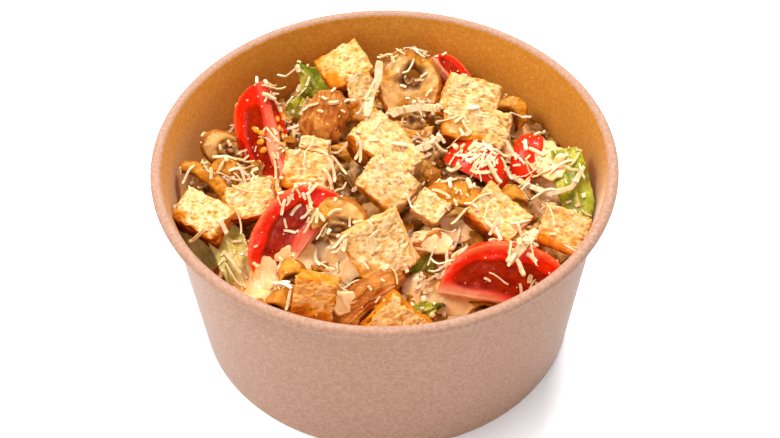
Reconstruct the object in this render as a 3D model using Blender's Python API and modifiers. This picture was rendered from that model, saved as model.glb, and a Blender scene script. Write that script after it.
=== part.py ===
"""Chicken salad heaped in a round kraft paper bowl.

The bowl is a turned paper shell with a rolled rim and a skirt foot. The salad is
one bumpy core that carries the small things (shreds, crumbs, drizzle), and every
crouton, tomato wedge, mushroom slice, chicken piece, leaf and long cheese shred
is a solid of its own that sits in a socket of the core.

Lengths are written in millimetres and turned into metres by MM. The origin is the
middle of the bowl's foot, +Z is up, and the salad is looked at from -Y.
"""

import math
import random

import bmesh
import bpy
from mathutils import Matrix, Vector, noise
from mathutils.bvhtree import BVHTree

MM = 0.001

# Bowl
BOWL_HEIGHT = 71.4
RIM_RADIUS = 75.0
RIM_ROLL = 1.9
FOOT_RADIUS = 64.0
WALL_TOP_RADIUS = 71.1
WALL_TOP_HEIGHT = 67.2
PAPER = 0.8
FOOT_RECESS = 6.5
FOOT_WIDTH = 1.6
FOOT_FOLD = 0.4
BOWL_SIDES = 60
ROLL_STEPS = 7
ROLL_START = 180.0
ROLL_END = -140.0

# Clearance between pieces that touch, and how the sockets in the core are simplified
GAP = 0.3
GROWTH = 0.5
SOCKET_GROWTH = 0.9
SOCKET_ANGLES = (14.0, 7.0, 3.0, 0.1)
FLAT_ANGLE = 2.5
HEAP_FLAT_ANGLE = 7.0
HOLLOW_KINDS = ("salad", "lettuce", "cheese")
SLIVER = 0.01
NUDGE = 0.02
NUDGE_TRIES = 3
SPLIT_TRIES = 4
STRAIGHT = math.radians(1.0)

# Salad core
CORE_MIDDLE = 53.5
CORE_EDGE = 45.5
CORE_BUMP = 2.2
CORE_CELLS = 17

# Level plane that places are given on, and the point they are looked at from
LEVEL = 58.0
EYE = Vector((1.6, -349.4, 402.8))

# Tomatoes are cut from fruit of this size
TOMATO_RADIUS = 20.0
TOMATO_LENGTH = 38.0
TOMATO_SECTOR = 62.0
TOMATO_RIDGE = 2.5
TOMATO_FULLNESS = 2.5

# Grated cheese
SHRED_COUNT = 1300
SHRED_LENGTH = (4.5, 11.0)
SHRED_WIDTH = (1.3, 2.3)
SHRED_THICKNESS = 1.0
SHRED_SINK = 0.25
SHRED_SLACK = 9.0
SHRED_REACH = 67.0
SHREDS_ON_HEAP = 40
SHREDS_ON_TOPPING = 2

# Places are x, y on the level plane and the height z. Angles are degrees: lean of
# the piece's top from upright, the way it leans (0 to the viewer, + to the right),
# heading of its long side and roll about that long side.
CROUTONS = [
    ("crouton_front_middle", (-1, -29, 62), (18, 19, 14), (50, -8, 25)),
    ("crouton_middle", (1, -1, 63), (17, 14, 12), (38, 0, -42)),
    ("crouton_crusted", (0, 14, 61), (24, 14, 14), (20, 30, -44)),
    ("crouton_right_front", (36, -16, 61), (17, 14, 11), (30, 10, -40)),
    ("crouton_far_right", (57, -23, 59), (15, 13, 10), (42, -18, -24)),
    ("crouton_front_left", (-21, -49, 57), (13, 14, 10), (56, -6, -14)),
    ("crouton_front_tip", (3, -61, 54), (16, 16, 11), (48, 0, 48)),
    ("crouton_far_left", (-58, -15, 58), (18, 13, 12), (22, -12, -30)),
    ("crouton_left", (-43, -8, 59), (16, 12, 11), (34, 8, 14)),
    ("crouton_left_middle", (-25, 4, 60), (15, 13, 12), (34, -12, -14)),
    ("crouton_right_low", (31, 27, 61), (22, 13, 14), (38, 0, -12)),
    ("crouton_right_high", (29, 39, 62), (19, 14, 14), (36, 12, -14)),
    ("crouton_back_left", (-13, 56, 63), (16, 14, 14), (26, -22, 28)),
    ("crouton_back_middle", (-8, 43, 61), (9, 18, 9), (52, -8, 6)),
    ("crouton_crumb_right", (14, -12, 60), (10, 8, 7), (30, 10, -30)),
    ("crouton_crumb_left", (-23, 18, 60), (10, 5, 5), (30, 0, -10)),
]
TOMATOES = [
    ("tomato_wedge_front", (38, -39, 57), 1.1, (46, 4, -8, 74)),
    ("tomato_wedge_left", (-32, -20, 57), 1.0, (44, -8, 52, 78)),
    ("tomato_wedge_back_left", (-40, 23, 55), 0.92, (42, 6, 106, 18)),
    ("tomato_wedge_right", (30, 9, 58), 0.62, (30, -30, -35, 165)),
    ("tomato_wedge_far_right", (47.5, 11, 57), 0.5, (40, 20, 78, 150)),
    ("tomato_wedge_back", (24, 52, 56), 0.54, (46, 0, -50, 20)),
]
MUSHROOMS = [
    ("mushroom_slice_back", (9, 48, 62), (22, 25, 5), "ring", (48, 0, 12)),
    ("mushroom_slice_left", (-15, -18, 60), (19, 16, 4.5), "cap", (46, 0, 4)),
    ("mushroom_slice_right", (22, -8, 60), (24, 12, 5), "arc", (38, 0, -3)),
    ("mushroom_slice_low", (10, 27, 58), (14, 13, 5), "cap", (40, 5, 170)),
    ("mushroom_slice_far_left", (-54, 17, 55), (12, 15, 4.5), "cap", (50, 20, 62)),
    ("mushroom_stalk_left", (-57, 1, 57), (24, 7, 5), "arc", (30, 0, -42)),
    ("mushroom_dark_left", (-52, 6, 53), (12, 9, 5), "arc", (35, 0, -35)),
    ("mushroom_cap_right", (44, 35, 55), (13, 9, 6), "arc", (35, 20, -30)),
    ("mushroom_piece_front", (-29, -38, 55), (9, 8, 5), "arc", (30, -10, 10)),
    ("mushroom_lump_front", (-31, -50, 53), (9, 9, 7), "arc", (40, 0, -30)),
    ("mushroom_flake_right", (41, -7, 57), (9, 8, 3), "arc", (30, 0, 25)),
]
CHICKEN = [
    ("chicken_strip_front", (-7, -52, 54), (32, 9, 6), (42, 0, 32)),
    ("chicken_strip_middle", (8, -34, 55), (24, 6, 6), (46, 0, 50)),
    ("chicken_chunk_back", (-20, 32, 60), (19, 14, 9), (46, -6, 84)),
]
LEAVES = [
    ("lettuce_leaf_back", (-25, 51, 59), (17, 11), (60, -20, 126)),
    ("lettuce_bit_back", (-30, 39, 57), (9, 6), (50, -20, 60)),
    ("lettuce_leaf_left", (-60, -30, 50), (34, 13), (30, 20, -60)),
    ("lettuce_rib_left", (-46, -36, 50), (36, 11), (26, 10, -66)),
    ("lettuce_leaf_right", (62, -6, 56), (32, 11), (34, -20, -82)),
    ("lettuce_leaf_front", (11, -39, 52), (14, 9), (40, 0, 60)),
    ("lettuce_bit_front", (12, -55, 52), (10, 6), (30, 0, 20)),
]
LEAF_THICKNESS = 1.0

# Long shreds: points on the level plane from end to end, and the strip's width
LONG_SHREDS = [
    ("cheese_shred_tall", [(-1.5, 62), (-2, 52), (-5, 42), (-6, 32)], 2.8),
    ("cheese_shred_across", [(-1, 31), (5, 35), (12, 37), (20, 36)], 2.6),
    ("cheese_shred_front", [(38, -36), (43, -29), (48, -22)], 3.0),
    ("cheese_shred_curved", [(41, 3), (47, -2), (54, -6), (61, -3), (66, 7)], 1.8),
    ("cheese_shred_low", [(9, 15), (14, 17), (19, 22)], 2.6),
]

# Thick dressing: patches on the level plane, each with its length and width and
# the way its long side turns
DRIZZLE = [
    (52, 11, 20, 12, 80), (52, -2, 18, 14, 95), (50, -14, 14, 12, 60),
    (-17, -30, 22, 12, -10), (-33, -40, 13, 20, 15), (16, -20, 22, 9, 5),
    (17, -50, 24, 11, 10), (-8, -47, 14, 9, 40), (45, 24, 12, 9, -30),
    (16, 0, 18, 7, -5), (-8, 8, 12, 9, 40),
]
DRIZZLE_DEPTH = 6.0
DRIZZLE_RISE = 2.0

# Small brown bits of mushroom and crumb that fill the gaps
BIT_COUNT = 26
BIT_SIZE = (3.0, 6.5)
BIT_REACH = 64.0

# Step round the middle that spreads scattered things evenly
GOLDEN_ANGLE = math.radians(137.508)

# Seeds: the noise that roughens shapes, the crumbs and the grated cheese
NOISE_SEED = 4
CRUMB_SEED = 5
SHRED_SEED = 11

COLOURS = {
    "paper": (0.62, 0.45, 0.33),
    "dressing": (0.84, 0.70, 0.46),
    "bread": (0.86, 0.66, 0.33),
    "tomato": (0.80, 0.08, 0.03),
    "mushroom": (0.50, 0.27, 0.08),
    "chicken": (0.46, 0.20, 0.05),
    "lettuce": (0.42, 0.52, 0.10),
    "cheese": (0.93, 0.82, 0.62),
}


def wall_radius(z):
    """Outer radius of the paper wall at height z."""
    return FOOT_RADIUS + (WALL_TOP_RADIUS - FOOT_RADIUS) * z / WALL_TOP_HEIGHT


def seen_at(x, y, z):
    """Place at height z that the eye sees at x, y on the level plane, in metres."""
    step = (z - LEVEL) / (EYE.z - LEVEL)
    return Vector((x + (EYE.x - x) * step, y + (EYE.y - y) * step, z)) * MM


def stance(place, lean, toward, spin, roll=0.0):
    """Matrix that turns a piece and puts it at its place."""
    turn = Matrix.Rotation(math.radians(toward), 4, "Z")
    turn @= Matrix.Rotation(math.radians(lean), 4, "X")
    turn @= Matrix.Rotation(math.radians(spin - toward), 4, "Z")
    turn @= Matrix.Rotation(math.radians(roll), 4, "X")
    return Matrix.Translation(place) @ turn


def clear_scene():
    for item in list(bpy.data.objects):
        bpy.data.objects.remove(item, do_unlink=True)


def make_collection(name, parent=None):
    group = bpy.data.collections.new(name)
    (parent or bpy.context.scene.collection).children.link(group)
    return group


def make_material(name, roughness):
    material = bpy.data.materials.new(name)
    material.use_nodes = True
    shader = material.node_tree.nodes["Principled BSDF"]
    colour = COLOURS[name]
    shader.inputs["Base Color"].default_value = (*colour, 1.0)
    shader.inputs["Roughness"].default_value = roughness
    material.diffuse_color = (*colour, 1.0)
    return material


def object_from(bm, name, group, material=None):
    """New object in the group with the bmesh's faces, all triangles."""
    bm = in_order(bm)
    bmesh.ops.triangulate(bm, faces=bm.faces)
    bmesh.ops.recalc_face_normals(bm, faces=bm.faces)
    mesh = bpy.data.meshes.new(name)
    bm.to_mesh(mesh)
    bm.free()
    if material:
        mesh.materials.append(material)
    item = bpy.data.objects.new(name, mesh)
    group.objects.link(item)
    return item


def mesh_copy(item):
    bm = bmesh.new()
    bm.from_mesh(item.data)
    return bm


def is_closed(bm):
    """True for a mesh with two faces on every edge and no face twice."""
    if len(bm.faces) < 4 or any(len(edge.link_faces) != 2 for edge in bm.edges):
        return False
    return len({frozenset(face.verts) for face in bm.faces}) == len(bm.faces)


def in_order(bm):
    """The same closed mesh with its verts and faces in an order set by their places."""
    spots = sorted(bm.verts, key=lambda vert: tuple(vert.co))
    number = {vert: index for index, vert in enumerate(spots)}
    rings = []
    for face in bm.faces:
        ring = [number[vert] for vert in face.verts]
        first = ring.index(min(ring))
        rings.append(ring[first:] + ring[:first])
    fresh = bmesh.new()
    verts = [fresh.verts.new(vert.co) for vert in spots]
    for ring in sorted(rings):
        fresh.faces.new([verts[index] for index in ring])
    fresh.normal_update()
    bm.free()
    return fresh


def drop_straight_verts(bm):
    """Take out verts that only bend one nearly straight line between two faces."""
    for vert in list(bm.verts):
        if len(vert.link_edges) != 2 or any(len(face.verts) < 4 for face in vert.link_faces):
            continue
        if vert.calc_edge_angle(0.0) < STRAIGHT:
            ends = [edge.other_vert(vert) for edge in vert.link_edges]
            if bm.edges.get(ends) is None:
                bmesh.utils.vert_dissolve(vert)


def split_faces(bm):
    """Triangulated copy that is closed, or None.

    Where two faces would be split along the same line, they are fanned from their
    middles instead."""
    if not is_closed(bm):
        return None
    fanned = set()
    for _ in range(SPLIT_TRIES):
        trial = in_order(bm.copy())
        source = trial.faces.layers.int.new("source")
        for index, face in enumerate(trial.faces):
            face[source] = index
        fans = [face for face in trial.faces if face[source] in fanned]
        bmesh.ops.poke(trial, faces=fans)
        bmesh.ops.triangulate(trial, faces=trial.faces)
        if is_closed(trial):
            trial.faces.layers.int.remove(source)
            return in_order(trial)
        bad = [edge for edge in trial.edges if len(edge.link_faces) != 2]
        fanned |= {face[source] for edge in bad for face in edge.link_faces}
        trial.free()
    return None


def as_cutter(bm, name, growth, group):
    """Object that cuts: the bmesh pushed out along its normals by the growth."""
    bm.normal_update()
    for vert in bm.verts:
        vert.co += vert.normal * growth * MM
    cutter = object_from(bm, name + "_cutter", group)
    cutter.hide_render = True
    cutter.display_type = "WIRE"
    return cutter


def grown(item, group, growth=GROWTH):
    """Copy of a piece made larger by the growth, as a cutter."""
    return as_cutter(mesh_copy(item), item.name, growth, group)


def tree_of(item):
    bm = mesh_copy(item)
    tree = BVHTree.FromBMesh(bm)
    bm.free()
    return tree


def hull_cutter(item, group, angle):
    """Hull round a piece with its flatter corners merged, grown as a cutter."""
    bm = bmesh.new()
    for vert in item.data.vertices:
        bm.verts.new(vert.co)
    bmesh.ops.convex_hull(bm, input=bm.verts)
    loose = [vert for vert in bm.verts if not vert.link_faces]
    bmesh.ops.delete(bm, geom=loose, context="VERTS")
    bm = in_order(bm)
    bmesh.ops.dissolve_limit(bm, angle_limit=math.radians(angle), verts=bm.verts, edges=bm.edges)
    bmesh.ops.triangulate(bm, faces=bm.faces)
    return as_cutter(in_order(bm), item.name, SOCKET_GROWTH, group)


def socket_cutter(item, group):
    """Simplest hull round a piece that still clears it by the gap, for its socket."""
    fat = grown(item, group, GAP)
    fat_tree = tree_of(fat)
    for angle in SOCKET_ANGLES:
        cutter = hull_cutter(item, group, angle)
        if angle == SOCKET_ANGLES[-1] or not tree_of(cutter).overlap(fat_tree):
            break
        bpy.data.objects.remove(cutter, do_unlink=True)
    bpy.data.objects.remove(fat, do_unlink=True)
    return cutter


def loose_bodies(bm):
    """Lists of verts that hang together, in a fixed order."""
    bm.verts.ensure_lookup_table()
    bm.verts.index_update()
    seen = [False] * len(bm.verts)
    bodies = []
    for first in bm.verts:
        if seen[first.index]:
            continue
        seen[first.index] = True
        body = [first]
        for vert in body:
            for edge in vert.link_edges:
                other = edge.other_vert(vert)
                if not seen[other.index]:
                    seen[other.index] = True
                    body.append(other)
        bodies.append(body)
    return bodies


def spread(body):
    """Volume of the box round a body, to tell a piece from its scraps."""
    sides = [[vert.co[axis] for vert in body] for axis in range(3)]
    return math.prod(max(side) - min(side) for side in sides)


def tidy_solid(item, flat=FLAT_ANGLE):
    """Drop loose scraps that a cut left, and merge flat splits as far as it stays closed."""
    for angle in (flat, flat * 0.3, 0.0):
        bm = in_order(mesh_copy(item))
        bodies = loose_bodies(bm)
        bodies.sort(key=spread)
        for body in bodies[:-1]:
            bmesh.ops.delete(bm, geom=body, context="VERTS")
        if angle > 0.0:
            bmesh.ops.dissolve_degenerate(bm, dist=SLIVER * MM, edges=bm.edges)
            bm = in_order(bm)
            limit = math.radians(angle)
            bmesh.ops.dissolve_limit(bm, angle_limit=limit, verts=bm.verts, edges=bm.edges)
        split = split_faces(bm)
        bm.free()
        if split:
            split.to_mesh(item.data)
            split.free()
            return
    raise RuntimeError(f"{item.name} isn't closed")


def boolean_result(item, operation, solver, other, others):
    modifier = item.modifiers.new("cut", "BOOLEAN")
    modifier.operation = operation
    modifier.solver = solver
    if others is None:
        modifier.object = other
    else:
        modifier.operand_type = "COLLECTION"
        modifier.collection = others
    depsgraph = bpy.context.evaluated_depsgraph_get()
    mesh = bpy.data.meshes.new_from_object(item.evaluated_get(depsgraph))
    item.modifiers.clear()
    return mesh


def apply_boolean(item, operation, solver, other=None, others=None):
    """One Boolean on the item, applied at once.

    A result that isn't closed is tried with the other solver, then with the cutter
    moved by a hair."""
    second = "MANIFOLD" if solver == "EXACT" else "EXACT"
    movers = [other] if other else list(others.objects)
    material = item.data.materials[0] if item.data.materials else None
    for choice in (solver, second) * NUDGE_TRIES:
        mesh = boolean_result(item, operation, choice, other, others)
        bm = bmesh.new()
        bm.from_mesh(mesh)
        drop_straight_verts(bm)
        split = split_faces(bm)
        bm.free()
        if split:
            split.to_mesh(mesh)
            split.free()
            item.data = mesh
            item.data.materials.clear()
            if material:
                item.data.materials.append(material)
            return
        if choice == second:
            for mover in movers:
                mover.location.z += NUDGE * MM
    raise RuntimeError(f"{item.name} doesn't close after {operation}")


def empty_collection(group):
    for item in list(group.objects):
        bpy.data.objects.remove(item, do_unlink=True)


def box_of(item):
    points = [vert.co for vert in item.data.vertices]
    low = Vector((min(p.x for p in points), min(p.y for p in points), min(p.z for p in points)))
    high = Vector((max(p.x for p in points), max(p.y for p in points), max(p.z for p in points)))
    return low, high


def boxes_meet(first, second, margin):
    low_a, high_a = box_of(first)
    low_b, high_b = box_of(second)
    return all(low_a[i] - margin < high_b[i] and low_b[i] - margin < high_a[i] for i in range(3))


def turned_solid(name, profile, group, sides=BOWL_SIDES):
    """Solid of revolution from a profile that runs down its outer side."""
    mesh = bpy.data.meshes.new(name)
    points = [(r * MM, 0.0, z * MM) for r, z in profile]
    edges = [(i, i + 1) for i in range(len(points) - 1)]
    mesh.from_pydata(points, edges, [])
    item = bpy.data.objects.new(name, mesh)
    group.objects.link(item)
    screw = item.modifiers.new("turn", "SCREW")
    screw.steps = sides
    screw.render_steps = sides
    screw.use_merge_vertices = True
    screw.merge_threshold = 0.00005
    depsgraph = bpy.context.evaluated_depsgraph_get()
    turned = bpy.data.meshes.new_from_object(item.evaluated_get(depsgraph))
    item.modifiers.clear()
    item.data = turned
    return item


def bowl(group, material):
    """Paper bowl: floor, wall with its rolled rim, and the folded skirt below the floor."""
    floor = FOOT_RECESS + PAPER
    roll_centre = (RIM_RADIUS - RIM_ROLL, BOWL_HEIGHT - RIM_ROLL)
    profile = [(0.0, floor), (wall_radius(floor) - PAPER, floor)]
    profile.append((WALL_TOP_RADIUS - PAPER, WALL_TOP_HEIGHT))
    for step in range(ROLL_STEPS + 1):
        angle = math.radians(ROLL_START + (ROLL_END - ROLL_START) * step / ROLL_STEPS)
        across = roll_centre[0] + RIM_ROLL * math.cos(angle)
        profile.append((across, roll_centre[1] + RIM_ROLL * math.sin(angle)))
    profile.append((WALL_TOP_RADIUS, WALL_TOP_HEIGHT))
    profile.append((wall_radius(FOOT_FOLD), FOOT_FOLD))
    profile.append((FOOT_RADIUS - FOOT_FOLD, 0.0))
    profile.append((FOOT_RADIUS - FOOT_WIDTH, 0.0))
    profile.append((wall_radius(FOOT_RECESS) - FOOT_WIDTH, FOOT_RECESS))
    profile.append((0.0, FOOT_RECESS))
    item = turned_solid("bowl", profile, group)
    item.data.materials.clear()
    item.data.materials.append(material)
    item.data.shade_smooth()
    item.data.set_sharp_from_angle(angle=math.radians(40))
    return item


def cavity(group):
    """Room inside the bowl, one gap clear of its wall and floor and open upwards."""
    floor = FOOT_RECESS + PAPER + GAP
    above = BOWL_HEIGHT + 40.0
    profile = [
        (0.0, above),
        (WALL_TOP_RADIUS - PAPER - GAP, above),
        (WALL_TOP_RADIUS - PAPER - GAP, WALL_TOP_HEIGHT),
        (wall_radius(floor) - PAPER - GAP, floor),
        (0.0, floor),
    ]
    return turned_solid("cavity", profile, group)


def roughen(bm, seed, coarse, fine):
    """Push the verts about by smooth noise: coarse leans the form, fine breaks it up."""
    offset = Vector((seed * 7.3, seed * 3.1, seed * 5.7))
    for vert in bm.verts:
        at = vert.co / MM
        push = noise.noise_vector(at * 0.07 + offset) * coarse
        push += noise.noise_vector(at * 0.31 + offset) * fine
        vert.co += push * MM


def crouton(name, place, size, angles, seed, group, material):
    """Toasted bread cube with uneven, slightly torn faces."""
    bm = bmesh.new()
    bmesh.ops.create_cube(bm, size=1.0)
    bmesh.ops.subdivide_edges(bm, edges=bm.edges, cuts=1, use_grid_fill=True)
    bmesh.ops.scale(bm, vec=Vector(size) * MM, verts=bm.verts)
    roughen(bm, seed, 1.6, 1.1)
    bmesh.ops.transform(bm, matrix=stance(seen_at(*place), *angles), verts=bm.verts)
    return object_from(bm, name, group, material)


def tomato_wedge(name, place, scale, angles, group, material):
    """Sector of a tomato: round skin below, two flat cut faces that meet in a blunt ridge."""
    bm = bmesh.new()
    bmesh.ops.create_uvsphere(bm, u_segments=24, v_segments=12, radius=1.0)
    for vert in bm.verts:
        along = min(1.0, abs(vert.co.z))
        round_girth = math.sqrt(1.0 - along ** 2)
        if round_girth > 0.01:
            fuller = (1.0 - along ** TOMATO_FULLNESS) ** (1.0 / TOMATO_FULLNESS) / round_girth
            vert.co.x *= fuller
            vert.co.y *= fuller
    bmesh.ops.scale(bm, vec=(TOMATO_RADIUS, TOMATO_RADIUS, TOMATO_LENGTH / 2), verts=bm.verts)
    lying = Matrix.Rotation(math.radians(90), 4, "Y")
    bmesh.ops.transform(bm, matrix=lying, verts=bm.verts)
    half = math.radians(TOMATO_SECTOR / 2)
    cuts = [Vector((0, math.cos(half), math.sin(half))), Vector((0, -math.cos(half), math.sin(half)))]
    planes = [(Vector((0, 0, 0)), normal) for normal in cuts]
    planes.append((Vector((0, 0, -TOMATO_RIDGE)), Vector((0, 0, 1))))
    for point, normal in planes:
        geometry = bm.verts[:] + bm.edges[:] + bm.faces[:]
        cut = bmesh.ops.bisect_plane(bm, geom=geometry, plane_co=point, plane_no=normal, clear_outer=True)
        rim = [e for e in cut["geom_cut"] if isinstance(e, bmesh.types.BMEdge)]
        bmesh.ops.contextual_create(bm, geom=rim)
    middle = Vector((0, 0, TOMATO_RADIUS * 0.62))
    bmesh.ops.translate(bm, vec=middle, verts=bm.verts)
    bmesh.ops.scale(bm, vec=Vector((scale, scale, scale)) * MM, verts=bm.verts)
    bmesh.ops.transform(bm, matrix=stance(seen_at(*place), *angles), verts=bm.verts)
    return object_from(bm, name, group, material)


def arc_points(centre, radii, start, end, count):
    points = []
    for step in range(count):
        angle = math.radians(start + (end - start) * step / (count - 1))
        points.append((centre[0] + radii[0] * math.cos(angle), centre[1] + radii[1] * math.sin(angle)))
    return points


def mushroom_outline(kind, width, height):
    """Outlines of a slice: the outer loop, and a hole if the gills left one."""
    if kind == "ring":
        outer = arc_points((0, 0), (width / 2, height / 2), 0, 337.5, 16)
        hole = arc_points((0.05 * width, 0.1 * height), (width * 0.13, height * 0.11), 0, 315, 8)
        return [outer, hole]
    if kind == "cap":
        cap = arc_points((0, 0), (width / 2, height * 0.55), -12, 192, 11)
        gills = [(-width * 0.2, -height * 0.02), (-width * 0.14, -height * 0.42)]
        stalk = [(width * 0.14, -height * 0.42), (width * 0.2, -height * 0.02)]
        return [cap + gills + stalk]
    upper = arc_points((0, -height * 0.35), (width / 2, height * 0.85), 5, 175, 9)
    lower = arc_points((0, -height * 0.75), (width * 0.42, height * 0.55), 170, 10, 7)
    return [upper + lower]


def mushroom_slice(name, place, size, kind, angles, seed, group, material):
    """Flat fried slice cut from an outline and bent a little."""
    width, height, thickness = size
    curve = bpy.data.curves.new(name, "CURVE")
    curve.dimensions = "2D"
    curve.fill_mode = "BOTH"
    curve.extrude = thickness * 0.5 * MM
    for outline in mushroom_outline(kind, width, height):
        spline = curve.splines.new("POLY")
        spline.points.add(len(outline) - 1)
        spline.use_cyclic_u = True
        for point, (x, y) in zip(spline.points, outline):
            point.co = (x * MM, y * MM, 0.0, 1.0)
    drawn = bpy.data.objects.new(name + "_outline", curve)
    group.objects.link(drawn)
    depsgraph = bpy.context.evaluated_depsgraph_get()
    flat = bpy.data.meshes.new_from_object(drawn.evaluated_get(depsgraph))
    bm = bmesh.new()
    bm.from_mesh(flat)
    bpy.data.objects.remove(drawn, do_unlink=True)
    bmesh.ops.remove_doubles(bm, verts=bm.verts, dist=0.00001)
    for vert in bm.verts:
        x, y = vert.co.x / width / MM, vert.co.y / height / MM
        vert.co.z += (0.9 * math.cos(x * 4.0) + 0.8 * math.sin(y * 3.0 + seed)) * MM
    roughen(bm, seed, 0.8, 0.5)
    bmesh.ops.transform(bm, matrix=stance(seen_at(*place), *angles), verts=bm.verts)
    return object_from(bm, name, group, material)


def chicken_piece(name, place, size, angles, seed, group, material):
    """Browned strip or chunk with grain that runs along its length."""
    bm = bmesh.new()
    bmesh.ops.create_cube(bm, size=1.0)
    bmesh.ops.subdivide_edges(bm, edges=bm.edges, cuts=2, use_grid_fill=True)
    for vert in bm.verts:
        taper = 1.0 - 0.5 * abs(2 * vert.co.x) ** 3
        vert.co.y *= taper
        vert.co.z *= taper
        corner = 1.0 - 0.25 * (4 * vert.co.y * vert.co.z) ** 2
        vert.co.y *= corner
        vert.co.z *= corner
    bmesh.ops.scale(bm, vec=Vector(size) * MM, verts=bm.verts)
    for vert in bm.verts:
        grain = noise.noise(Vector((vert.co.x * 60, vert.co.y * 420, vert.co.z * 420 + seed)))
        vert.co.z += grain * 1.6 * MM
        vert.co.y += 1.4 * math.sin(vert.co.x / size[0] / MM * 4.0 + seed) * MM
    roughen(bm, seed, 0.8, 0.5)
    bmesh.ops.transform(bm, matrix=stance(seen_at(*place), *angles), verts=bm.verts)
    return object_from(bm, name, group, material)


def leaf(name, place, size, angles, seed, group, material):
    """Thin wavy leaf, pointed at its far end, both faces split alike."""
    length, width = size
    bm = bmesh.new()
    bmesh.ops.create_grid(bm, x_segments=7, y_segments=4, size=0.5)
    for vert in bm.verts:
        along, across = vert.co.x, vert.co.y
        half = width * (0.35 + 0.65 * math.cos((along + 0.12) * 2.2) ** 0.7)
        x = along * length
        y = across * half
        ruffle = 1.6 * abs(2 * across) * math.sin(along * 14.0 + seed + 3.0 * across)
        z = ruffle + 3.0 * across * across - 5.0 * along * along
        vert.co = Vector((x, y, z)) * MM
    bmesh.ops.triangulate(bm, faces=bm.faces)
    bmesh.ops.transform(bm, matrix=stance(seen_at(*place), *angles), verts=bm.verts)
    item = object_from(bm, name, group, material)
    shell = item.modifiers.new("thickness", "SOLIDIFY")
    shell.thickness = LEAF_THICKNESS * MM
    shell.offset = 0.0
    depsgraph = bpy.context.evaluated_depsgraph_get()
    solid = bpy.data.meshes.new_from_object(item.evaluated_get(depsgraph))
    item.modifiers.clear()
    item.data = solid
    return item


def strip(points, width, thickness, normal, group, name):
    """Flat strip of cheese through the points, lying along the normal's face."""
    bm = bmesh.new()
    bmesh.ops.create_cube(bm, size=1.0)
    lengthwise = [e for e in bm.edges if abs(e.verts[0].co.x - e.verts[1].co.x) > 0.5]
    if len(points) > 2:
        bmesh.ops.subdivide_edges(bm, edges=lengthwise, cuts=len(points) - 2)
    last = len(points) - 1
    for vert in bm.verts:
        index = round((vert.co.x + 0.5) * last)
        here = points[index]
        ahead = (points[min(index + 1, last)] - points[max(index - 1, 0)]).normalized()
        side = normal.cross(ahead).normalized()
        up = ahead.cross(side).normalized()
        end_taper = 0.72 if index in (0, last) else 1.0
        across = side * vert.co.y * width * end_taper * MM
        vert.co = here + across + up * vert.co.z * thickness * MM
    return object_from(bm, name, group)


def core_height(x, y):
    """Height of the bare heap over a place in millimetres: a low dome with bumps."""
    reach = min(1.0, math.hypot(x, y) / 69.0)
    dome = CORE_MIDDLE - (CORE_MIDDLE - CORE_EDGE) * reach ** 2.4
    bump = noise.noise(Vector((x * 0.09, y * 0.09, 1.7))) * CORE_BUMP
    bump += noise.noise(Vector((x * 0.2, y * 0.2, 9.2))) * CORE_BUMP * 0.6
    return dome + bump


def heap_core(room, group, material):
    """Bumpy block cut to the bowl's room."""
    reach = 74.0
    bm = bmesh.new()
    bmesh.ops.create_grid(bm, x_segments=CORE_CELLS, y_segments=CORE_CELLS, size=reach * MM)
    bmesh.ops.triangulate(bm, faces=bm.faces)
    raised = bmesh.ops.extrude_face_region(bm, geom=bm.faces[:])
    top = [v for v in raised["geom"] if isinstance(v, bmesh.types.BMVert)]
    for vert in top:
        vert.co.z = core_height(vert.co.x / MM, vert.co.y / MM) * MM
    item = object_from(bm, "salad_heap", group, material)
    apply_boolean(item, "INTERSECT", "EXACT", room)
    tidy_solid(item)
    return item


def drizzle_patch(index, patch, group):
    """Flat oval lump of thick dressing."""
    x, y, length, width, turn = patch
    place = seen_at(x, y, core_height(x, y) + DRIZZLE_RISE)
    bm = bmesh.new()
    bmesh.ops.create_icosphere(bm, subdivisions=2, radius=0.5)
    bmesh.ops.scale(bm, vec=Vector((length, width, DRIZZLE_DEPTH)) * MM, verts=bm.verts)
    roughen(bm, index + 40, 1.2, 0.5)
    bmesh.ops.transform(bm, matrix=stance(place, 10, 0, turn), verts=bm.verts)
    return object_from(bm, f"patch_{index}", group)


def small_bit(index, draw, group):
    """Faceted crumb or mushroom bit, placed along a sunflower spiral."""
    reach = BIT_REACH * math.sqrt((index + 0.5) / BIT_COUNT)
    angle = index * GOLDEN_ANGLE
    x = reach * math.cos(angle)
    y = reach * math.sin(angle)
    size = draw.uniform(*BIT_SIZE)
    bm = bmesh.new()
    bmesh.ops.create_icosphere(bm, subdivisions=1, radius=0.5)
    bmesh.ops.scale(bm, vec=Vector((size * 1.5, size, size * 0.8)) * MM, verts=bm.verts)
    place = Vector((x, y, core_height(x, y) + size * 0.15)) * MM
    angles = (draw.uniform(0, 40), draw.uniform(-180, 180), draw.uniform(0, 180))
    bmesh.ops.transform(bm, matrix=stance(place, *angles), verts=bm.verts)
    return object_from(bm, f"bit_{index}", group)


def top_hit(trees, x, y):
    """First solid under a place seen from above: its name, the point and the normal."""
    best = None
    start = Vector((x * MM, y * MM, 0.2))
    for name, tree in trees.items():
        point, normal, _, _ = tree.ray_cast(start, Vector((0, 0, -1)))
        if point is not None and (best is None or point.z > best[1].z):
            best = (name, point, normal)
    return best


def inside_room(item, room_tree):
    """True if no face of the item crosses the room's wall."""
    return not tree_of(item).overlap(room_tree)


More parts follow.
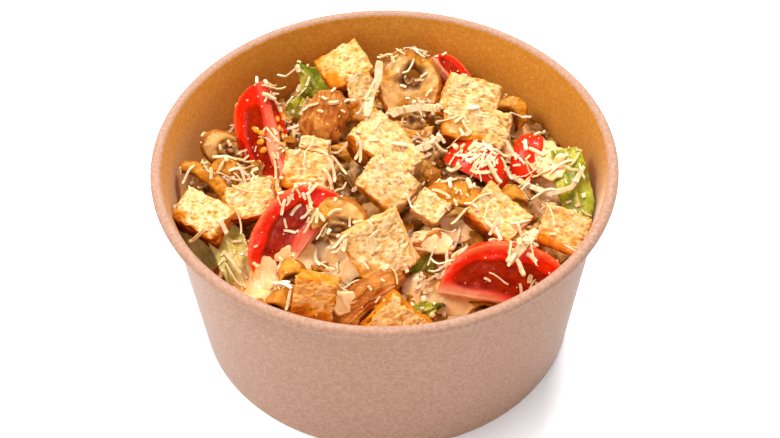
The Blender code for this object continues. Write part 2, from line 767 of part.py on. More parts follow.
def scatter_shreds(pieces, share, room_tree, workshop):
    """Grated cheese laid on whatever it falls on, clear of every other piece.

    Returns the strips for each host. A strip whose ends lie on different pieces,
    or that would touch a neighbour, is skipped."""
    draw = random.Random(SHRED_SEED)
    trees = {item.name: tree_of(item) for item in pieces}
    strips = {}
    laid = []
    order = list(range(SHRED_COUNT))
    draw.shuffle(order)
    for index in order:
        reach = SHRED_REACH * math.sqrt((index + 0.5) / SHRED_COUNT)
        angle = index * GOLDEN_ANGLE
        x, y = reach * math.cos(angle), reach * math.sin(angle)
        length = draw.uniform(*SHRED_LENGTH)
        width = draw.uniform(*SHRED_WIDTH)
        heading = draw.uniform(0.0, math.pi)
        chance = draw.random()
        reach_x = 0.5 * length * math.cos(heading)
        reach_y = 0.5 * length * math.sin(heading)
        hits = [top_hit(trees, x + k * reach_x, y + k * reach_y) for k in (-1, 1)]
        middle = top_hit(trees, x, y)
        if middle is None or any(hit is None or hit[0] != middle[0] for hit in hits):
            continue
        host, rest, normal = middle
        kind = host.split("_")[0]
        room_left = SHREDS_ON_HEAP if kind == "salad" else SHREDS_ON_TOPPING
        if chance > share[kind] or len(strips.get(host, [])) >= room_left:
            continue
        along = (hits[1][1] - hits[0][1]).normalized() * length * 0.5 * MM
        lift = normal * (SHRED_THICKNESS * 0.5 - SHRED_SINK) * MM
        points = [rest + lift - along, rest + lift + along]
        item = strip(points, width, SHRED_THICKNESS, normal, workshop, f"shred_{index}")
        fat = grown(item, workshop, GAP + 0.1)
        fat_tree = tree_of(fat)
        near = [name for name, tree in trees.items() if name != host and fat_tree.overlap(tree)]
        blocked = bool(near) or bool(fat_tree.overlap(room_tree))
        blocked = blocked or any(fat_tree.overlap(tree) for tree in laid)
        bpy.data.objects.remove(fat, do_unlink=True)
        if blocked or not tree_of(item).overlap(trees[host]):
            bpy.data.objects.remove(item, do_unlink=True)
            continue
        strips.setdefault(host, []).append(item)
        laid.append(tree_of(item))
    return strips


def fuse(host, parts, workshop, solver="EXACT"):
    """Join loose parts to their host with one union."""
    heap = make_collection(host.name + "_parts", workshop)
    for part in parts:
        for owner in list(part.users_collection):
            owner.objects.unlink(part)
        heap.objects.link(part)
    apply_boolean(host, "UNION", solver, others=heap)
    empty_collection(heap)
    bpy.data.collections.remove(heap)
    tidy_solid(host)


def lay_long_shred(name, route, width, trees, group, material):
    """Long strip over what the eye sees below its route, bridging the dips."""
    fine = []
    for (x0, y0), (x1, y1) in zip(route, route[1:]):
        fine += [(x0 + (x1 - x0) * k / 3, y0 + (y1 - y0) * k / 3) for k in range(3)]
    fine.append(route[-1])
    eye = EYE * MM
    ways = [(Vector((x, y, LEVEL)) * MM - eye).normalized() for x, y in fine]
    depths = []
    for way in ways:
        hits = [tree.ray_cast(eye, way)[3] for tree in trees.values()]
        depths.append(min([depth for depth in hits if depth is not None], default=None))
    nearest = min(depth for depth in depths if depth is not None)
    farthest = nearest + SHRED_SLACK * MM
    depths = [farthest if depth is None else min(depth, farthest) for depth in depths]
    bridged = [min(depths[max(0, i - 1):i + 2]) for i in range(len(depths))]
    eased = [sum(bridged[max(0, i - 1):i + 2]) / len(bridged[max(0, i - 1):i + 2])
             for i in range(len(bridged))]
    lift = SHRED_THICKNESS * MM
    points = [eye + way * (min(depth, near) - lift)
              for way, depth, near in zip(ways, eased, bridged)]
    strand = strip(points, width, SHRED_THICKNESS, -ways[0], group, name)
    strand.data.materials.append(material)
    return strand


def separate(pieces, fixed, room, workshop):
    """Cut each piece back from the fixed ones, from those before it and from the wall."""
    room_tree = tree_of(room)
    for index, item in enumerate(pieces):
        if not inside_room(item, room_tree):
            apply_boolean(item, "INTERSECT", "EXACT", room)
            tidy_solid(item)
        for earlier in fixed + pieces[:index]:
            if not boxes_meet(item, earlier, SOCKET_GROWTH * MM):
                continue
            thin = earlier.name.startswith(HOLLOW_KINDS)
            cutter = grown(earlier, workshop) if thin else socket_cutter(earlier, workshop)
            if tree_of(cutter).overlap(tree_of(item)):
                apply_boolean(item, "DIFFERENCE", "EXACT", cutter)
                tidy_solid(item)
            bpy.data.objects.remove(cutter, do_unlink=True)


def toppings(group, materials):
    """All pieces with a node of their own, the uppermost first."""
    pieces = []
    for index, (name, place, size, angles) in enumerate(CROUTONS):
        pieces.append(crouton(name, place, size, angles, index + 1, group, materials["bread"]))
    for name, place, scale, angles in TOMATOES:
        pieces.append(tomato_wedge(name, place, scale, angles, group, materials["tomato"]))
    for index, (name, place, size, kind, angles) in enumerate(MUSHROOMS):
        skin = materials["mushroom"]
        pieces.append(mushroom_slice(name, place, size, kind, angles, index + 1, group, skin))
    for index, (name, place, size, angles) in enumerate(CHICKEN):
        pieces.append(chicken_piece(name, place, size, angles, index + 1, group, materials["chicken"]))
    for index, (name, place, size, angles) in enumerate(LEAVES):
        pieces.append(leaf(name, place, size, angles, index, group, materials["lettuce"]))
    return pieces


def build():
    noise.seed_set(NOISE_SEED)
    clear_scene()
    salad = make_collection("chicken_salad")
    workshop = make_collection("cutters")
    finish = {"paper": 0.8, "dressing": 0.35, "bread": 0.8, "tomato": 0.25,
              "mushroom": 0.45, "chicken": 0.5, "lettuce": 0.4, "cheese": 0.5}
    materials = {name: make_material(name, value) for name, value in finish.items()}
    bowl(salad, materials["paper"])
    room = cavity(workshop)
    room_tree = tree_of(room)
    pieces = toppings(salad, materials)
    separate(pieces, [], room, workshop)
    heap = heap_core(room, salad, materials["dressing"])
    draw = random.Random(CRUMB_SEED)
    lumps = [drizzle_patch(i, patch, workshop) for i, patch in enumerate(DRIZZLE)]
    lumps += [small_bit(i, draw, workshop) for i in range(BIT_COUNT)]
    fuse(heap, lumps, workshop, "MANIFOLD")
    apply_boolean(heap, "INTERSECT", "EXACT", room)
    tidy_solid(heap, HEAP_FLAT_ANGLE)
    for item in pieces:
        cutter = socket_cutter(item, workshop)
        apply_boolean(heap, "DIFFERENCE", "EXACT", cutter)
        bpy.data.objects.remove(cutter, do_unlink=True)
    tidy_solid(heap, HEAP_FLAT_ANGLE)
    everything = pieces + [heap]
    share = {"crouton": 0.3, "tomato": 0.8, "mushroom": 0.4, "chicken": 0.3,
             "lettuce": 0.0, "salad": 1.0}
    strips = scatter_shreds(everything, share, room_tree, workshop)
    for item in everything:
        if item.name in strips:
            fuse(item, strips[item.name], workshop)
    trees = {item.name: tree_of(item) for item in everything}
    strands = []
    for name, route, width in LONG_SHREDS:
        strands.append(lay_long_shred(name, route, width, trees, salad, materials["cheese"]))
    separate(strands, everything, room, workshop)
    empty_collection(workshop)


build()
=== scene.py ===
import math
import random

import bmesh
import bpy
import numpy as np
from mathutils import Matrix, Vector, noise
from mathutils.bvhtree import BVHTree


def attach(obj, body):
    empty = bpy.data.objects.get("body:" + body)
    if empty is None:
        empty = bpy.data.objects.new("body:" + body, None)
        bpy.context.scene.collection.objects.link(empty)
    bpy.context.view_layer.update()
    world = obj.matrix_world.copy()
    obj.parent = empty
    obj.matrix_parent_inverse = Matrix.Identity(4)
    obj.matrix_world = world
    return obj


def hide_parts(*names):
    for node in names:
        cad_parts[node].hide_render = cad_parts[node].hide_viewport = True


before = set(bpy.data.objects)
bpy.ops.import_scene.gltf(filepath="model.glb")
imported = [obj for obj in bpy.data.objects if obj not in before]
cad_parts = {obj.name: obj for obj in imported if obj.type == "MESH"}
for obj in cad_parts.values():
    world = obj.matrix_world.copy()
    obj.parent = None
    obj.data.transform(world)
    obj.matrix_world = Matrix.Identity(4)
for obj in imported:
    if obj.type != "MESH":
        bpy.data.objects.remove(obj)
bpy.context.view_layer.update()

noise.seed_set(4)
MM = 0.001
GOLDEN_ANGLE = math.radians(137.508)
# Croutons are toasted darker toward this side, away from the light: partly real toasting, partly painted shade.
SHADED_SIDE = Vector((-0.55, -0.5, -0.67))  # where the photo's croutons turn golden

# Bowl, in millimetres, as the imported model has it
BOWL_HEIGHT, RIM_RADIUS, RIM_ROLL = 71.4, 75.0, 1.9
FOOT_RADIUS, WALL_TOP_RADIUS, WALL_TOP_HEIGHT = 64.0, 71.1, 67.2
PAPER, FOOT_RECESS, FOOT_WIDTH, FOOT_FOLD = 0.8, 6.5, 1.6, 0.4
RIM_STEPS, WALL_GAP = 24, 0.35
# Core below the toppings, and the level plane on which places are given
CORE_MIDDLE, CORE_EDGE, CORE_BUMP, CORE_REACH = 53.5, 45.5, 2.2, 69.0
CORE_GRID, CORE_CUT, CORE_CRUST = 230, 69.5, 4.0
LEVEL = 58.0
EYE = Vector((1.6, -349.4, 402.8))
# Forms of the toppings, in millimetres, degrees or parts of a piece's width and height
FACE_SIZE, CUBE_POWER = 0.42, 22
TOMATO_RADIUS, TOMATO_LENGTH, TOMATO_SECTOR = 20.0, 38.0, 62.0
TOMATO_RIDGE, TOMATO_FULLNESS = 2.5, 2.5
RING_HOLE = (0.05, 0.1, 0.13, 0.11)  # its middle, then its two radii
CAP_RISE, ARC_DROP, ARC_RISE = 0.55, 0.35, 0.85
HOLLOW_DROP, HOLLOW_WIDTH, HOLLOW_RISE = 0.75, 0.42, 0.55
LEAF_THICKNESS, DRESSING_THICKNESS = 0.6, 0.7
# Strewn pieces: how many, and how far from the middle they reach
SHRED_COUNT, SHRED_SPREAD, SHRED_STEPS = 1100, 67.5, 6
SHRED_MIDDLE_REACH, SHRED_END_REACH, SHRED_TOP = 68.5, 69.0, 76.0
CRUMB_COUNT, CRUMB_SPREAD = 1500, 67.0
BIT_COUNT, BIT_SPREAD = 130, 66.0
DROP_FROM, CRUMB_TOP = 0.12, 0.0765  # in metres
# Camera as fitted to the rim in the photo, with its picture sizes in pixels
PICTURE_WIDTH, FOCAL_LENGTH, SENSOR_WIDTH = 780.0, 1500.0, 36.0
CAMERA_DOWN, CAMERA_ROLL, CAMERA_AWAY = 46, -0.6, 503.0
CAMERA_AIM = Vector((1.6, 0.0, 41.0))
# Lamps: name, place and size in metres, power in watts
LAMPS = (("key", (0.22, 0.42, 0.85), 0.2, 9.2),
         ("side", (-0.55, -0.05, 0.75), 0.3, 5.2),
         ("fill", (-0.1, -0.8, 0.6), 0.5, 2.6))
LAMP_AIM = Vector((0, 0, 0.05))
SKY_STRENGTH = 0.45
FLOOR_GLOW = (0.055, 0.105)  # from the middle, in metres: where the floor's painted glow starts and is full; nearer the bowl the floor is darker, painted shade together with the lamps' real shadow

# Place on the level plane with its height, size, stance and which sides are toasted:
# +x, -x, +y, -y, +z, -z of the piece and its lower left in the photo, 0 for pale crumb to 1 for crust
# The last number is how much darker each crouton turns toward SHADED_SIDE: partly real toast, partly painted
# shade.
CROUTONS = [
    ("crouton_front_middle", (-1, -29, 62), (18, 19, 14), (50, -8, 25), (0.3, 0.2, 0.35, 0.3, 0, 0.5, 0.35)),
    ("crouton_middle", (1, -1, 63), (17, 14, 12), (38, 0, -42), (0.3, 0.3, 0.3, 0.35, 0, 0.5, 0.35)),
    ("crouton_crusted", (0, 14, 61), (24, 14, 14), (20, 30, -44), (0.3, 0.6, 0.4, 0.85, 0.0, 0.7, 0.5)),
    ("crouton_right_front", (36, -16, 61), (17, 14, 11), (30, 10, -40), (0.4, 0.5, 0.5, 0.55, 0.1, 0.6, 0.6)),
    ("crouton_far_right", (57, -23, 59), (15, 13, 10), (42, -18, -24), (0.3, 0.3, 0.3, 0.4, 0.2, 0.4, 0.4)),
    ("crouton_front_left", (-21, -49, 57), (13, 14, 10), (56, -6, -14), (0.6, 0.6, 0.7, 0.6, 0.5, 0.7, 0.4)),
    ("crouton_front_tip", (3, -61, 54), (16, 16, 11), (48, 0, 48), (0.9, 0.4, 0.9, 0.5, 0.25, 0.6, 0.4)),
    ("crouton_far_left", (-58, -15, 58), (18, 13, 12), (22, -12, -30), (0.6, 0.6, 0.5, 0.55, 0.03, 0.8, 0.8)),
    ("crouton_left", (-43, -8, 59), (16, 12, 11), (34, 8, 14), (0.5, 0.6, 0.4, 0.6, 0.05, 0.7, 0.6)),
    ("crouton_left_middle", (-25, 4, 60), (15, 13, 12), (34, -12, -14),
     (0.4, 0.4, 0.4, 0.45, 0.18, 0.6, 0.6)),
    ("crouton_right_low", (31, 27, 61), (22, 13, 14), (38, 0, -12), (0.4, 0.5, 0.5, 0.5, 0.08, 0.6, 0.6)),
    ("crouton_right_high", (29, 39, 62), (19, 14, 14), (36, 12, -14), (0.4, 0.4, 0.4, 0.4, 0.0, 0.6, 0.3)),
    ("crouton_back_left", (-13, 56, 63), (16, 14, 14), (26, -22, 28), (0.5, 0.6, 0.5, 0.55, 0.26, 0.8, 0.5)),
    ("crouton_back_middle", (-8, 43, 61), (9, 18, 9), (52, -8, 6), (0.4, 0.4, 0.4, 0.4, 0.12, 0.6, 0.4)),
    ("crouton_crumb_right", (14, -12, 60), (10, 8, 7), (30, 10, -30), (0.1, 0.1, 0.1, 0.2, 0, 0.2, 0.15)),
    ("crouton_crumb_left", (-23, 18, 60), (10, 5, 5), (30, 0, -10), (0.1, 0.1, 0.1, 0.1, 0, 0.1, 0.1)),
]
# Place, scale, stance and roll, and how many seeds each cut face shows
TOMATOES = [
    ("tomato_wedge_front", (38, -39, 57), 1.1, (46, 4, -8, 74), 0),
    ("tomato_wedge_left", (-32, -20, 57), 1.0, (44, -8, 52, 78), 0),
    ("tomato_wedge_back_left", (-40, 23, 55), 0.92, (42, 6, 106, 18), 4),
    ("tomato_wedge_right", (30, 9, 58), 0.62, (30, -30, -35, 165), 0),
    ("tomato_wedge_far_right", (47.5, 11, 57), 0.5, (40, 20, 78, 150), 0),
    ("tomato_wedge_back", (24, 52, 56), 0.54, (46, 0, -50, 20), 0),
]
# Place, width, height and thickness, form and stance
MUSHROOMS = [
    ("mushroom_slice_back", (9, 48, 62), (22, 25, 5), "ring", (48, 0, 12)),
    ("mushroom_slice_left", (-15, -18, 60), (19, 16, 4.5), "cap", (46, 0, 4)),
    ("mushroom_slice_right", (22, -8, 60), (24, 12, 5), "arc", (38, 0, -3)),
    ("mushroom_slice_low", (10, 27, 58), (14, 13, 5), "cap", (40, 5, 170)),
    ("mushroom_slice_far_left", (-54, 17, 55), (12, 15, 4.5), "cap", (50, 20, 62)),
    ("mushroom_stalk_left", (-57, 1, 57), (24, 7, 5), "arc", (30, 0, -42)),
    ("mushroom_dark_left", (-52, 6, 53), (12, 9, 5), "arc", (35, 0, -35)),
    ("mushroom_cap_right", (44, 35, 55), (13, 9, 6), "arc", (35, 20, -30)),
    ("mushroom_piece_front", (-29, -38, 55), (9, 8, 5), "arc", (30, -10, 10)),
    ("mushroom_lump_front", (-31, -50, 53), (9, 9, 7), "arc", (40, 0, -30)),
    ("mushroom_flake_right", (41, -7, 57), (9, 8, 3), "arc", (30, 0, 25)),
]
# Place, size and stance
CHICKEN = [
    ("chicken_strip_front", (-7, -52, 54), (32, 9, 6), (42, 0, 32)),
    ("chicken_strip_middle", (8, -34, 55), (24, 6, 6), (46, 0, 50)),
    ("chicken_chunk_back", (-20, 32, 60), (19, 14, 9), (46, -6, 84)),
]
# Place, length and width, stance, and how much of the leaf is pale rib
LEAVES = [
    ("lettuce_leaf_back", (-25, 51, 59), (17, 11), (60, -20, 126), 0.1),
    ("lettuce_bit_back", (-30, 39, 57), (9, 6), (50, -20, 60), 0.1),
    ("lettuce_leaf_left", (-60, -30, 50), (34, 13), (30, 20, -60), 0.9),
    ("lettuce_rib_left", (-46, -36, 50), (36, 11), (26, 10, -66), 1.0),
    ("lettuce_leaf_right", (62, -6, 56), (32, 11), (34, -20, -82), 0.15),
    ("lettuce_leaf_front", (11, -39, 52), (14, 9), (40, 0, 60), 0.0),
    ("lettuce_bit_front", (12, -55, 52), (10, 6), (30, 0, 20), 0.1),
]
LONG_SHREDS = ("cheese_shred_tall", "cheese_shred_across", "cheese_shred_front",
               "cheese_shred_curved", "cheese_shred_low")
# Thick dressing: place on the level plane, length, width, heading and how thick it is
DRESSING = [
    (56, 14, 15, 9, 95, 1.6), (55.5, 5, 15, 10, 95, 1.9), (53.5, -4, 15, 10, 90, 1.9),
    (51.5, -11, 10, 8, 85, 1.5), (12, -46, 14, 9, 10, 1.6), (20, -51, 18, 10, 5, 1.8),
    (15, -23, 12, 8, -10, 1.4), (22, -22, 14, 8, -15, 1.4), (-12, -38, 13, 10, 20, 1.6),
    (-15, -33, 13, 9, -20, 1.6), (-27, -31, 14, 8, 10, 1.4), (-19, -32, 10, 8, 0, 1.4),
    (-38, -35, 7, 13, 10, 1.4), (-39.5, -45, 8, 13, 5, 1.6), (-13.5, -50, 9, 6, 20, 1.4),
    (45, 24, 12, 9, -30, 1.4),
]
# Dense drifts of shreds: place on the level plane, radius, how many, and the scale of their length
DRIFTS = [
    (33, 17, 9, 40, 1.0), (30, 8, 8, 30, 1.1), (45, 5, 7, 26, 1.0), (-40, 4, 10, 34, 1.0),
    (-22, 12, 8, 22, 1.0), (-5, 22, 8, 20, 1.0), (18, 14, 9, 40, 0.8), (-28, -10, 6, 26, 0.6),
    (-10, -38, 8, 26, 0.9), (10, 62, 7, 12, 0.8), (40, -22, 7, 16, 0.9), (43, -40, 6, 12, 1.2),
    (27, -14, 8, 12, 1.1), (-30, -45, 5, 10, 1.1), (52, 30, 8, 14, 1.0), (-34, 28, 6, 22, 0.8),
    (58, -14, 7, 8, 1.2), (14, -42, 6, 16, 1.2), (-8, 46, 10, 12, 0.8), (20, 44, 9, 12, 0.8),
    (-52, 2, 8, 10, 1.0), (22, -4, 6, 14, 0.8), (-16, -30, 8, 14, 0.7),
]


def wall_radius(z):
    return FOOT_RADIUS + (WALL_TOP_RADIUS - FOOT_RADIUS) * z / WALL_TOP_HEIGHT


def seen_at(x, y, z):
    """Place at height z that the eye sees at x, y on the level plane, in metres."""
    step = (z - LEVEL) / (EYE.z - LEVEL)
    return Vector((x + (EYE.x - x) * step, y + (EYE.y - y) * step, z)) * MM


def stance(place, lean, toward, spin, roll=0.0):
    turn = Matrix.Rotation(math.radians(toward), 4, "Z")
    turn @= Matrix.Rotation(math.radians(lean), 4, "X")
    turn @= Matrix.Rotation(math.radians(spin - toward), 4, "Z")
    turn @= Matrix.Rotation(math.radians(roll), 4, "X")
    return Matrix.Translation(place) @ turn


def core_height(x, y):
    reach = min(1.0, math.hypot(x, y) / CORE_REACH)
    dome = CORE_MIDDLE - (CORE_MIDDLE - CORE_EDGE) * reach ** 2.4
    bump = noise.noise(Vector((x * 0.09, y * 0.09, 1.7))) * CORE_BUMP
    bump += noise.noise(Vector((x * 0.2, y * 0.2, 9.2))) * CORE_BUMP * 0.6
    return dome + bump


def sunflower(index, count, spread, turn=0.0):
    """Place number index of count places strewn evenly over a round, in millimetres."""
    reach = spread * math.sqrt((index + 0.5) / count)
    angle = index * GOLDEN_ANGLE + turn
    return reach * math.cos(angle), reach * math.sin(angle)


def shift(seed, x, y, z):
    """Where in the noise the piece with that seed is read."""
    return Vector((seed * x, seed * y, seed * z))


def wobble(at, offset, coarse, fine):
    """Uneven push in millimetres, in large and in small waves."""
    push = noise.noise_vector(at * 0.07 + offset) * coarse
    return push + noise.noise_vector(at * 0.31 + offset) * fine


def ease(low, high, value):
    t = min(1.0, max(0.0, (value - low) / (high - low)))
    return t * t * (3.0 - 2.0 * t)


def lin(code):
    """Linear colour from a hex code as a picture editor shows it."""
    parts = [int(code[i:i + 2], 16) / 255.0 for i in (0, 2, 4)]
    return tuple(p / 12.92 if p <= 0.04045 else ((p + 0.055) / 1.055) ** 2.4 for p in parts) + (1.0,)


# Finishes

def put(tree, kind, **values):
    node = tree.nodes.new(kind)
    for key, value in values.items():
        if key in node.inputs.keys():
            node.inputs[key].default_value = value
        else:
            setattr(node, key, value)
    return node


def wire(tree, source, target):
    tree.links.new(source, target)


def effect_group(name, inputs, outputs):
    group = bpy.data.node_groups.new(name, "ShaderNodeTree")
    for label, value in inputs.items():
        socket = group.interface.new_socket(label, in_out="INPUT", socket_type="NodeSocketFloat")
        socket.default_value = value
    for label in outputs:
        group.interface.new_socket(label, in_out="OUTPUT", socket_type="NodeSocketFloat")
    return group, put(group, "NodeGroupInput"), put(group, "NodeGroupOutput")


def make_mottle():
    """Soft cloudy patches: a mask from 0 to 1."""
    group, given, result = effect_group("mottle", {"Scale": 200.0, "Low": 0.35, "High": 0.65}, ["Mask"])
    place = put(group, "ShaderNodeTexCoord")
    cloud = put(group, "ShaderNodeTexNoise", Detail=5.0, Roughness=0.6)
    spread = put(group, "ShaderNodeMapRange", interpolation_type="SMOOTHSTEP")
    wire(group, place.outputs["Object"], cloud.inputs["Vector"])
    wire(group, given.outputs["Scale"], cloud.inputs["Scale"])
    wire(group, cloud.outputs["Fac"], spread.inputs["Value"])
    wire(group, given.outputs["Low"], spread.inputs["From Min"])
    wire(group, given.outputs["High"], spread.inputs["From Max"])
    wire(group, spread.outputs["Result"], result.inputs["Mask"])
    return group


def make_pores():
    """Small round pits: 1 in a pit, 0 between them."""
    group, given, result = effect_group("pores", {"Scale": 900.0, "Size": 0.35}, ["Pit"])
    place = put(group, "ShaderNodeTexCoord")
    bend = put(group, "ShaderNodeTexNoise", Scale=700.0, Detail=2.0)
    push = put(group, "ShaderNodeVectorMath", operation="MULTIPLY_ADD")
    push.inputs[1].default_value = (0.0012, 0.0012, 0.0012)
    stretch = put(group, "ShaderNodeVectorMath", operation="MULTIPLY")
    stretch.inputs[1].default_value = (0.55, 1.0, 1.0)
    cells = put(group, "ShaderNodeTexVoronoi")
    spread = put(group, "ShaderNodeMapRange", interpolation_type="SMOOTHSTEP")
    spread.inputs["From Max"].default_value = 0.0
    wire(group, place.outputs["Object"], bend.inputs["Vector"])
    wire(group, bend.outputs["Color"], push.inputs[0])
    wire(group, place.outputs["Object"], push.inputs[2])
    wire(group, push.outputs["Vector"], stretch.inputs[0])
    wire(group, stretch.outputs["Vector"], cells.inputs["Vector"])
    wire(group, given.outputs["Scale"], cells.inputs["Scale"])
    wire(group, cells.outputs["Distance"], spread.inputs["Value"])
    wire(group, given.outputs["Size"], spread.inputs["From Min"])
    wire(group, spread.outputs["Result"], result.inputs["Pit"])
    return group


MOTTLE = make_mottle()
PORES = make_pores()


class Finish:
    """A material with one Principled shader, built up colour by colour."""

    def __init__(self, name, **sockets):
        self.material = bpy.data.materials.new(name)
        self.material.use_nodes = True
        self.tree = self.material.node_tree
        self.shader = self.tree.nodes["Principled BSDF"]
        for key, value in sockets.items():
            self.shader.inputs[key.replace("_", " ")].default_value = value

    def mottle(self, scale, low=0.35, high=0.65):
        node = put(self.tree, "ShaderNodeGroup", node_tree=MOTTLE)
        for key, value in (("Scale", scale), ("Low", low), ("High", high)):
            node.inputs[key].default_value = value
        return node.outputs["Mask"]

    def pores(self, scale, size):
        node = put(self.tree, "ShaderNodeGroup", node_tree=PORES)
        node.inputs["Scale"].default_value = scale
        node.inputs["Size"].default_value = size
        return node.outputs["Pit"]

    def mask(self, name):
        return put(self.tree, "ShaderNodeAttribute", attribute_name=name).outputs["Fac"]

    def math(self, operation, first, second):
        node = put(self.tree, "ShaderNodeMath", operation=operation, use_clamp=True)
        for socket, value in zip(node.inputs, (first, second)):
            if isinstance(value, (int, float)):
                socket.default_value = value
            else:
                wire(self.tree, value, socket)
        return node.outputs["Value"]

    def ramp(self, factor, stops):
        node = put(self.tree, "ShaderNodeValToRGB")
        band = node.color_ramp
        while len(band.elements) < len(stops):
            band.elements.new(1.0)
        for element, (position, colour) in zip(band.elements, stops):
            element.position = position
            element.color = lin(colour)
        wire(self.tree, factor, node.inputs["Fac"])
        return node.outputs["Color"]

    def mix(self, factor, first, second):
        node = put(self.tree, "ShaderNodeMix", data_type="RGBA")
        for socket, value in zip([node.inputs[0], node.inputs[6], node.inputs[7]], (factor, first, second)):
            if isinstance(value, str):
                socket.default_value = lin(value)
            elif isinstance(value, (int, float)):
                socket.default_value = value
            else:
                wire(self.tree, value, socket)
        return node.outputs[2]

    def colour(self, source):
        wire(self.tree, source, self.shader.inputs["Base Color"])

    def rough(self, factor, low, high):
        node = put(self.tree, "ShaderNodeMapRange")
        node.inputs["To Min"].default_value = low
        node.inputs["To Max"].default_value = high
        wire(self.tree, factor, node.inputs["Value"])
        wire(self.tree, node.outputs["Result"], self.shader.inputs["Roughness"])

    def bump(self, height, distance, strength=1.0, below=None):
        node = put(self.tree, "ShaderNodeBump", Strength=strength, Distance=distance * MM)
        wire(self.tree, height, node.inputs["Height"])
        if below:
            wire(self.tree, below, node.inputs["Normal"])
        wire(self.tree, node.outputs["Normal"], self.shader.inputs["Normal"])
        return node.outputs["Normal"]


def bread_finish():
    f = Finish("toasted_bread", Roughness=0.85, Specular_IOR_Level=0.1, Subsurface_Weight=0.12,
               Subsurface_Scale=0.001, Subsurface_Radius=(1.0, 0.8, 0.45))
    crumb = f.ramp(f.mottle(420, 0.3, 0.7), [(0.0, "f6d9a8"), (0.6, "f3cd94"), (1.0, "e6ac58")])
    crumb = f.mix(f.math("MULTIPLY", f.mottle(120, 0.45, 0.75), 0.45), crumb, "e2a648")
    small, large = f.pores(1150, 0.5), f.pores(600, 0.42)
    pits = f.math("ADD", f.math("MULTIPLY", small, 0.9), f.math("MULTIPLY", large, 1.5))
    # Painted shade: the crumb is coloured darker in its pores, and a little more toasted there, as shade falls
    # in them.
    crumb = f.mix(f.math("MULTIPLY", pits, 0.8), crumb, "c67e28")
    # Painted shade: darker colour inside the sunk holes and pits of the crumb.
    crumb = f.mix(f.math("MULTIPLY", f.mask("hollow_shade"), 0.85), crumb, "d49440")
    toast = f.math("ADD", f.mask("toast"), f.math("MULTIPLY", f.mottle(260, 0.45, 0.8), 0.16))
    toast = f.math("ADD", toast, f.math("MULTIPLY", pits, 0.09))
    crust = f.ramp(toast, [(0.1, "ecae48"), (0.3, "e29018"), (0.5, "d67e10"),
                           (0.75, "b85e0a"), (1.0, "743208")])
    f.colour(f.mix(f.math("MULTIPLY", f.mask("toast"), 2.1), crumb, crust))
    first = f.bump(pits, -0.14, 0.6)
    f.bump(f.mottle(1600, 0.2, 0.8), 0.15, 0.5, first)
    return f.material


def tomato_finish():
    f = Finish("tomato_flesh", Specular_IOR_Level=0.12, Coat_Weight=0.14, Coat_Roughness=0.04)
    flesh = f.ramp(f.mottle(160, 0.25, 0.75), [(0.0, "f22806"), (0.55, "ea1c02"), (1.0, "f63a0c")])
    flesh = f.mix(f.mask("wall"), flesh, "f46c38")
    flesh = f.mix(f.mask("core"), flesh, "f0a880")
    gel = f.ramp(f.mottle(330, 0.3, 0.7), [(0.0, "8c0e02"), (1.0, "b42c06")])
    flesh = f.mix(f.mask("gel"), flesh, gel)
    skin = f.ramp(f.mottle(120, 0.3, 0.7), [(0.0, "f02404"), (1.0, "f8360a")])
    f.colour(f.mix(f.mask("skin"), flesh, skin))
    f.rough(f.mottle(300, 0.3, 0.7), 0.16, 0.34)
    f.bump(f.mottle(520, 0.2, 0.8), 0.22, 0.5)
    return f.material


def seed_finish():
    f = Finish("tomato_seed", Coat_Weight=0.6, Coat_Roughness=0.05)
    f.colour(f.ramp(f.mottle(700), [(0.0, "f8ac20"), (1.0, "f08c14")]))
    f.rough(f.mottle(900), 0.15, 0.35)
    f.bump(f.mottle(1500), 0.08, 0.4)
    return f.material


def mushroom_finish():
    f = Finish("fried_mushroom", Specular_IOR_Level=0.15, Coat_Weight=0.12, Coat_Roughness=0.06)
    body = f.ramp(f.mottle(230, 0.28, 0.72), [(0.0, "b26408"), (0.5, "cc8014"), (1.0, "e09c34")])
    body = f.mix(f.mask("pale"), body, "eebc74")
    fibre = f.mix(f.mottle(900, 0.5, 0.75), body, "a4560c")
    body = f.mix(0.5, body, fibre)
    rim = f.ramp(f.mottle(260), [(0.0, "7c3c08"), (1.0, "b4640e")])
    body = f.mix(f.mask("rim"), body, rim)
    f.colour(f.mix(f.mask("gill"), body, "5a2c0a"))
    f.rough(f.mottle(420, 0.3, 0.7), 0.35, 0.6)
    f.bump(f.mottle(800, 0.2, 0.8), 0.3, 0.6)
    return f.material


def chicken_finish():
    f = Finish("browned_chicken", Specular_IOR_Level=0.15, Coat_Weight=0.12, Coat_Roughness=0.08)
    body = f.ramp(f.mottle(240, 0.25, 0.75), [(0.0, "9c4808"), (0.5, "b86414"), (1.0, "d48c38")])
    strand = f.ramp(f.mask("strand"), [(0.0, "803404"), (0.5, "b05c10"), (1.0, "e0a04c")])
    f.colour(f.mix(0.4, body, strand))
    f.rough(f.mottle(500), 0.4, 0.65)
    f.bump(f.mottle(900, 0.2, 0.8), 0.3, 0.7)
    return f.material


def lettuce_finish():
    f = Finish("lettuce", Specular_IOR_Level=0.15, Coat_Weight=0.05, Coat_Roughness=0.1)
    green = f.ramp(f.mottle(150, 0.3, 0.7), [(0.0, "647c04"), (0.5, "90940a"), (1.0, "bcac28")])
    pale = f.ramp(f.mottle(180, 0.3, 0.7), [(0.0, "c4b04c"), (1.0, "ead8a0")])
    f.colour(f.mix(f.mask("rib"), green, pale))
    f.rough(f.mottle(400), 0.25, 0.5)
    f.bump(f.mottle(420, 0.2, 0.8), 0.4, 0.6)
    return f.material


def cheese_finish():
    f = Finish("grated_cheese", Specular_IOR_Level=0.2)
    f.colour(f.mix(f.mask("tone"), f.ramp(f.mottle(350), [(0.0, "f6e2c4"), (1.0, "f0d2a0")]), "e8b868"))
    f.rough(f.mottle(800), 0.38, 0.6)
    f.bump(f.mottle(1500, 0.2, 0.8), 0.12, 0.6)
    return f.material


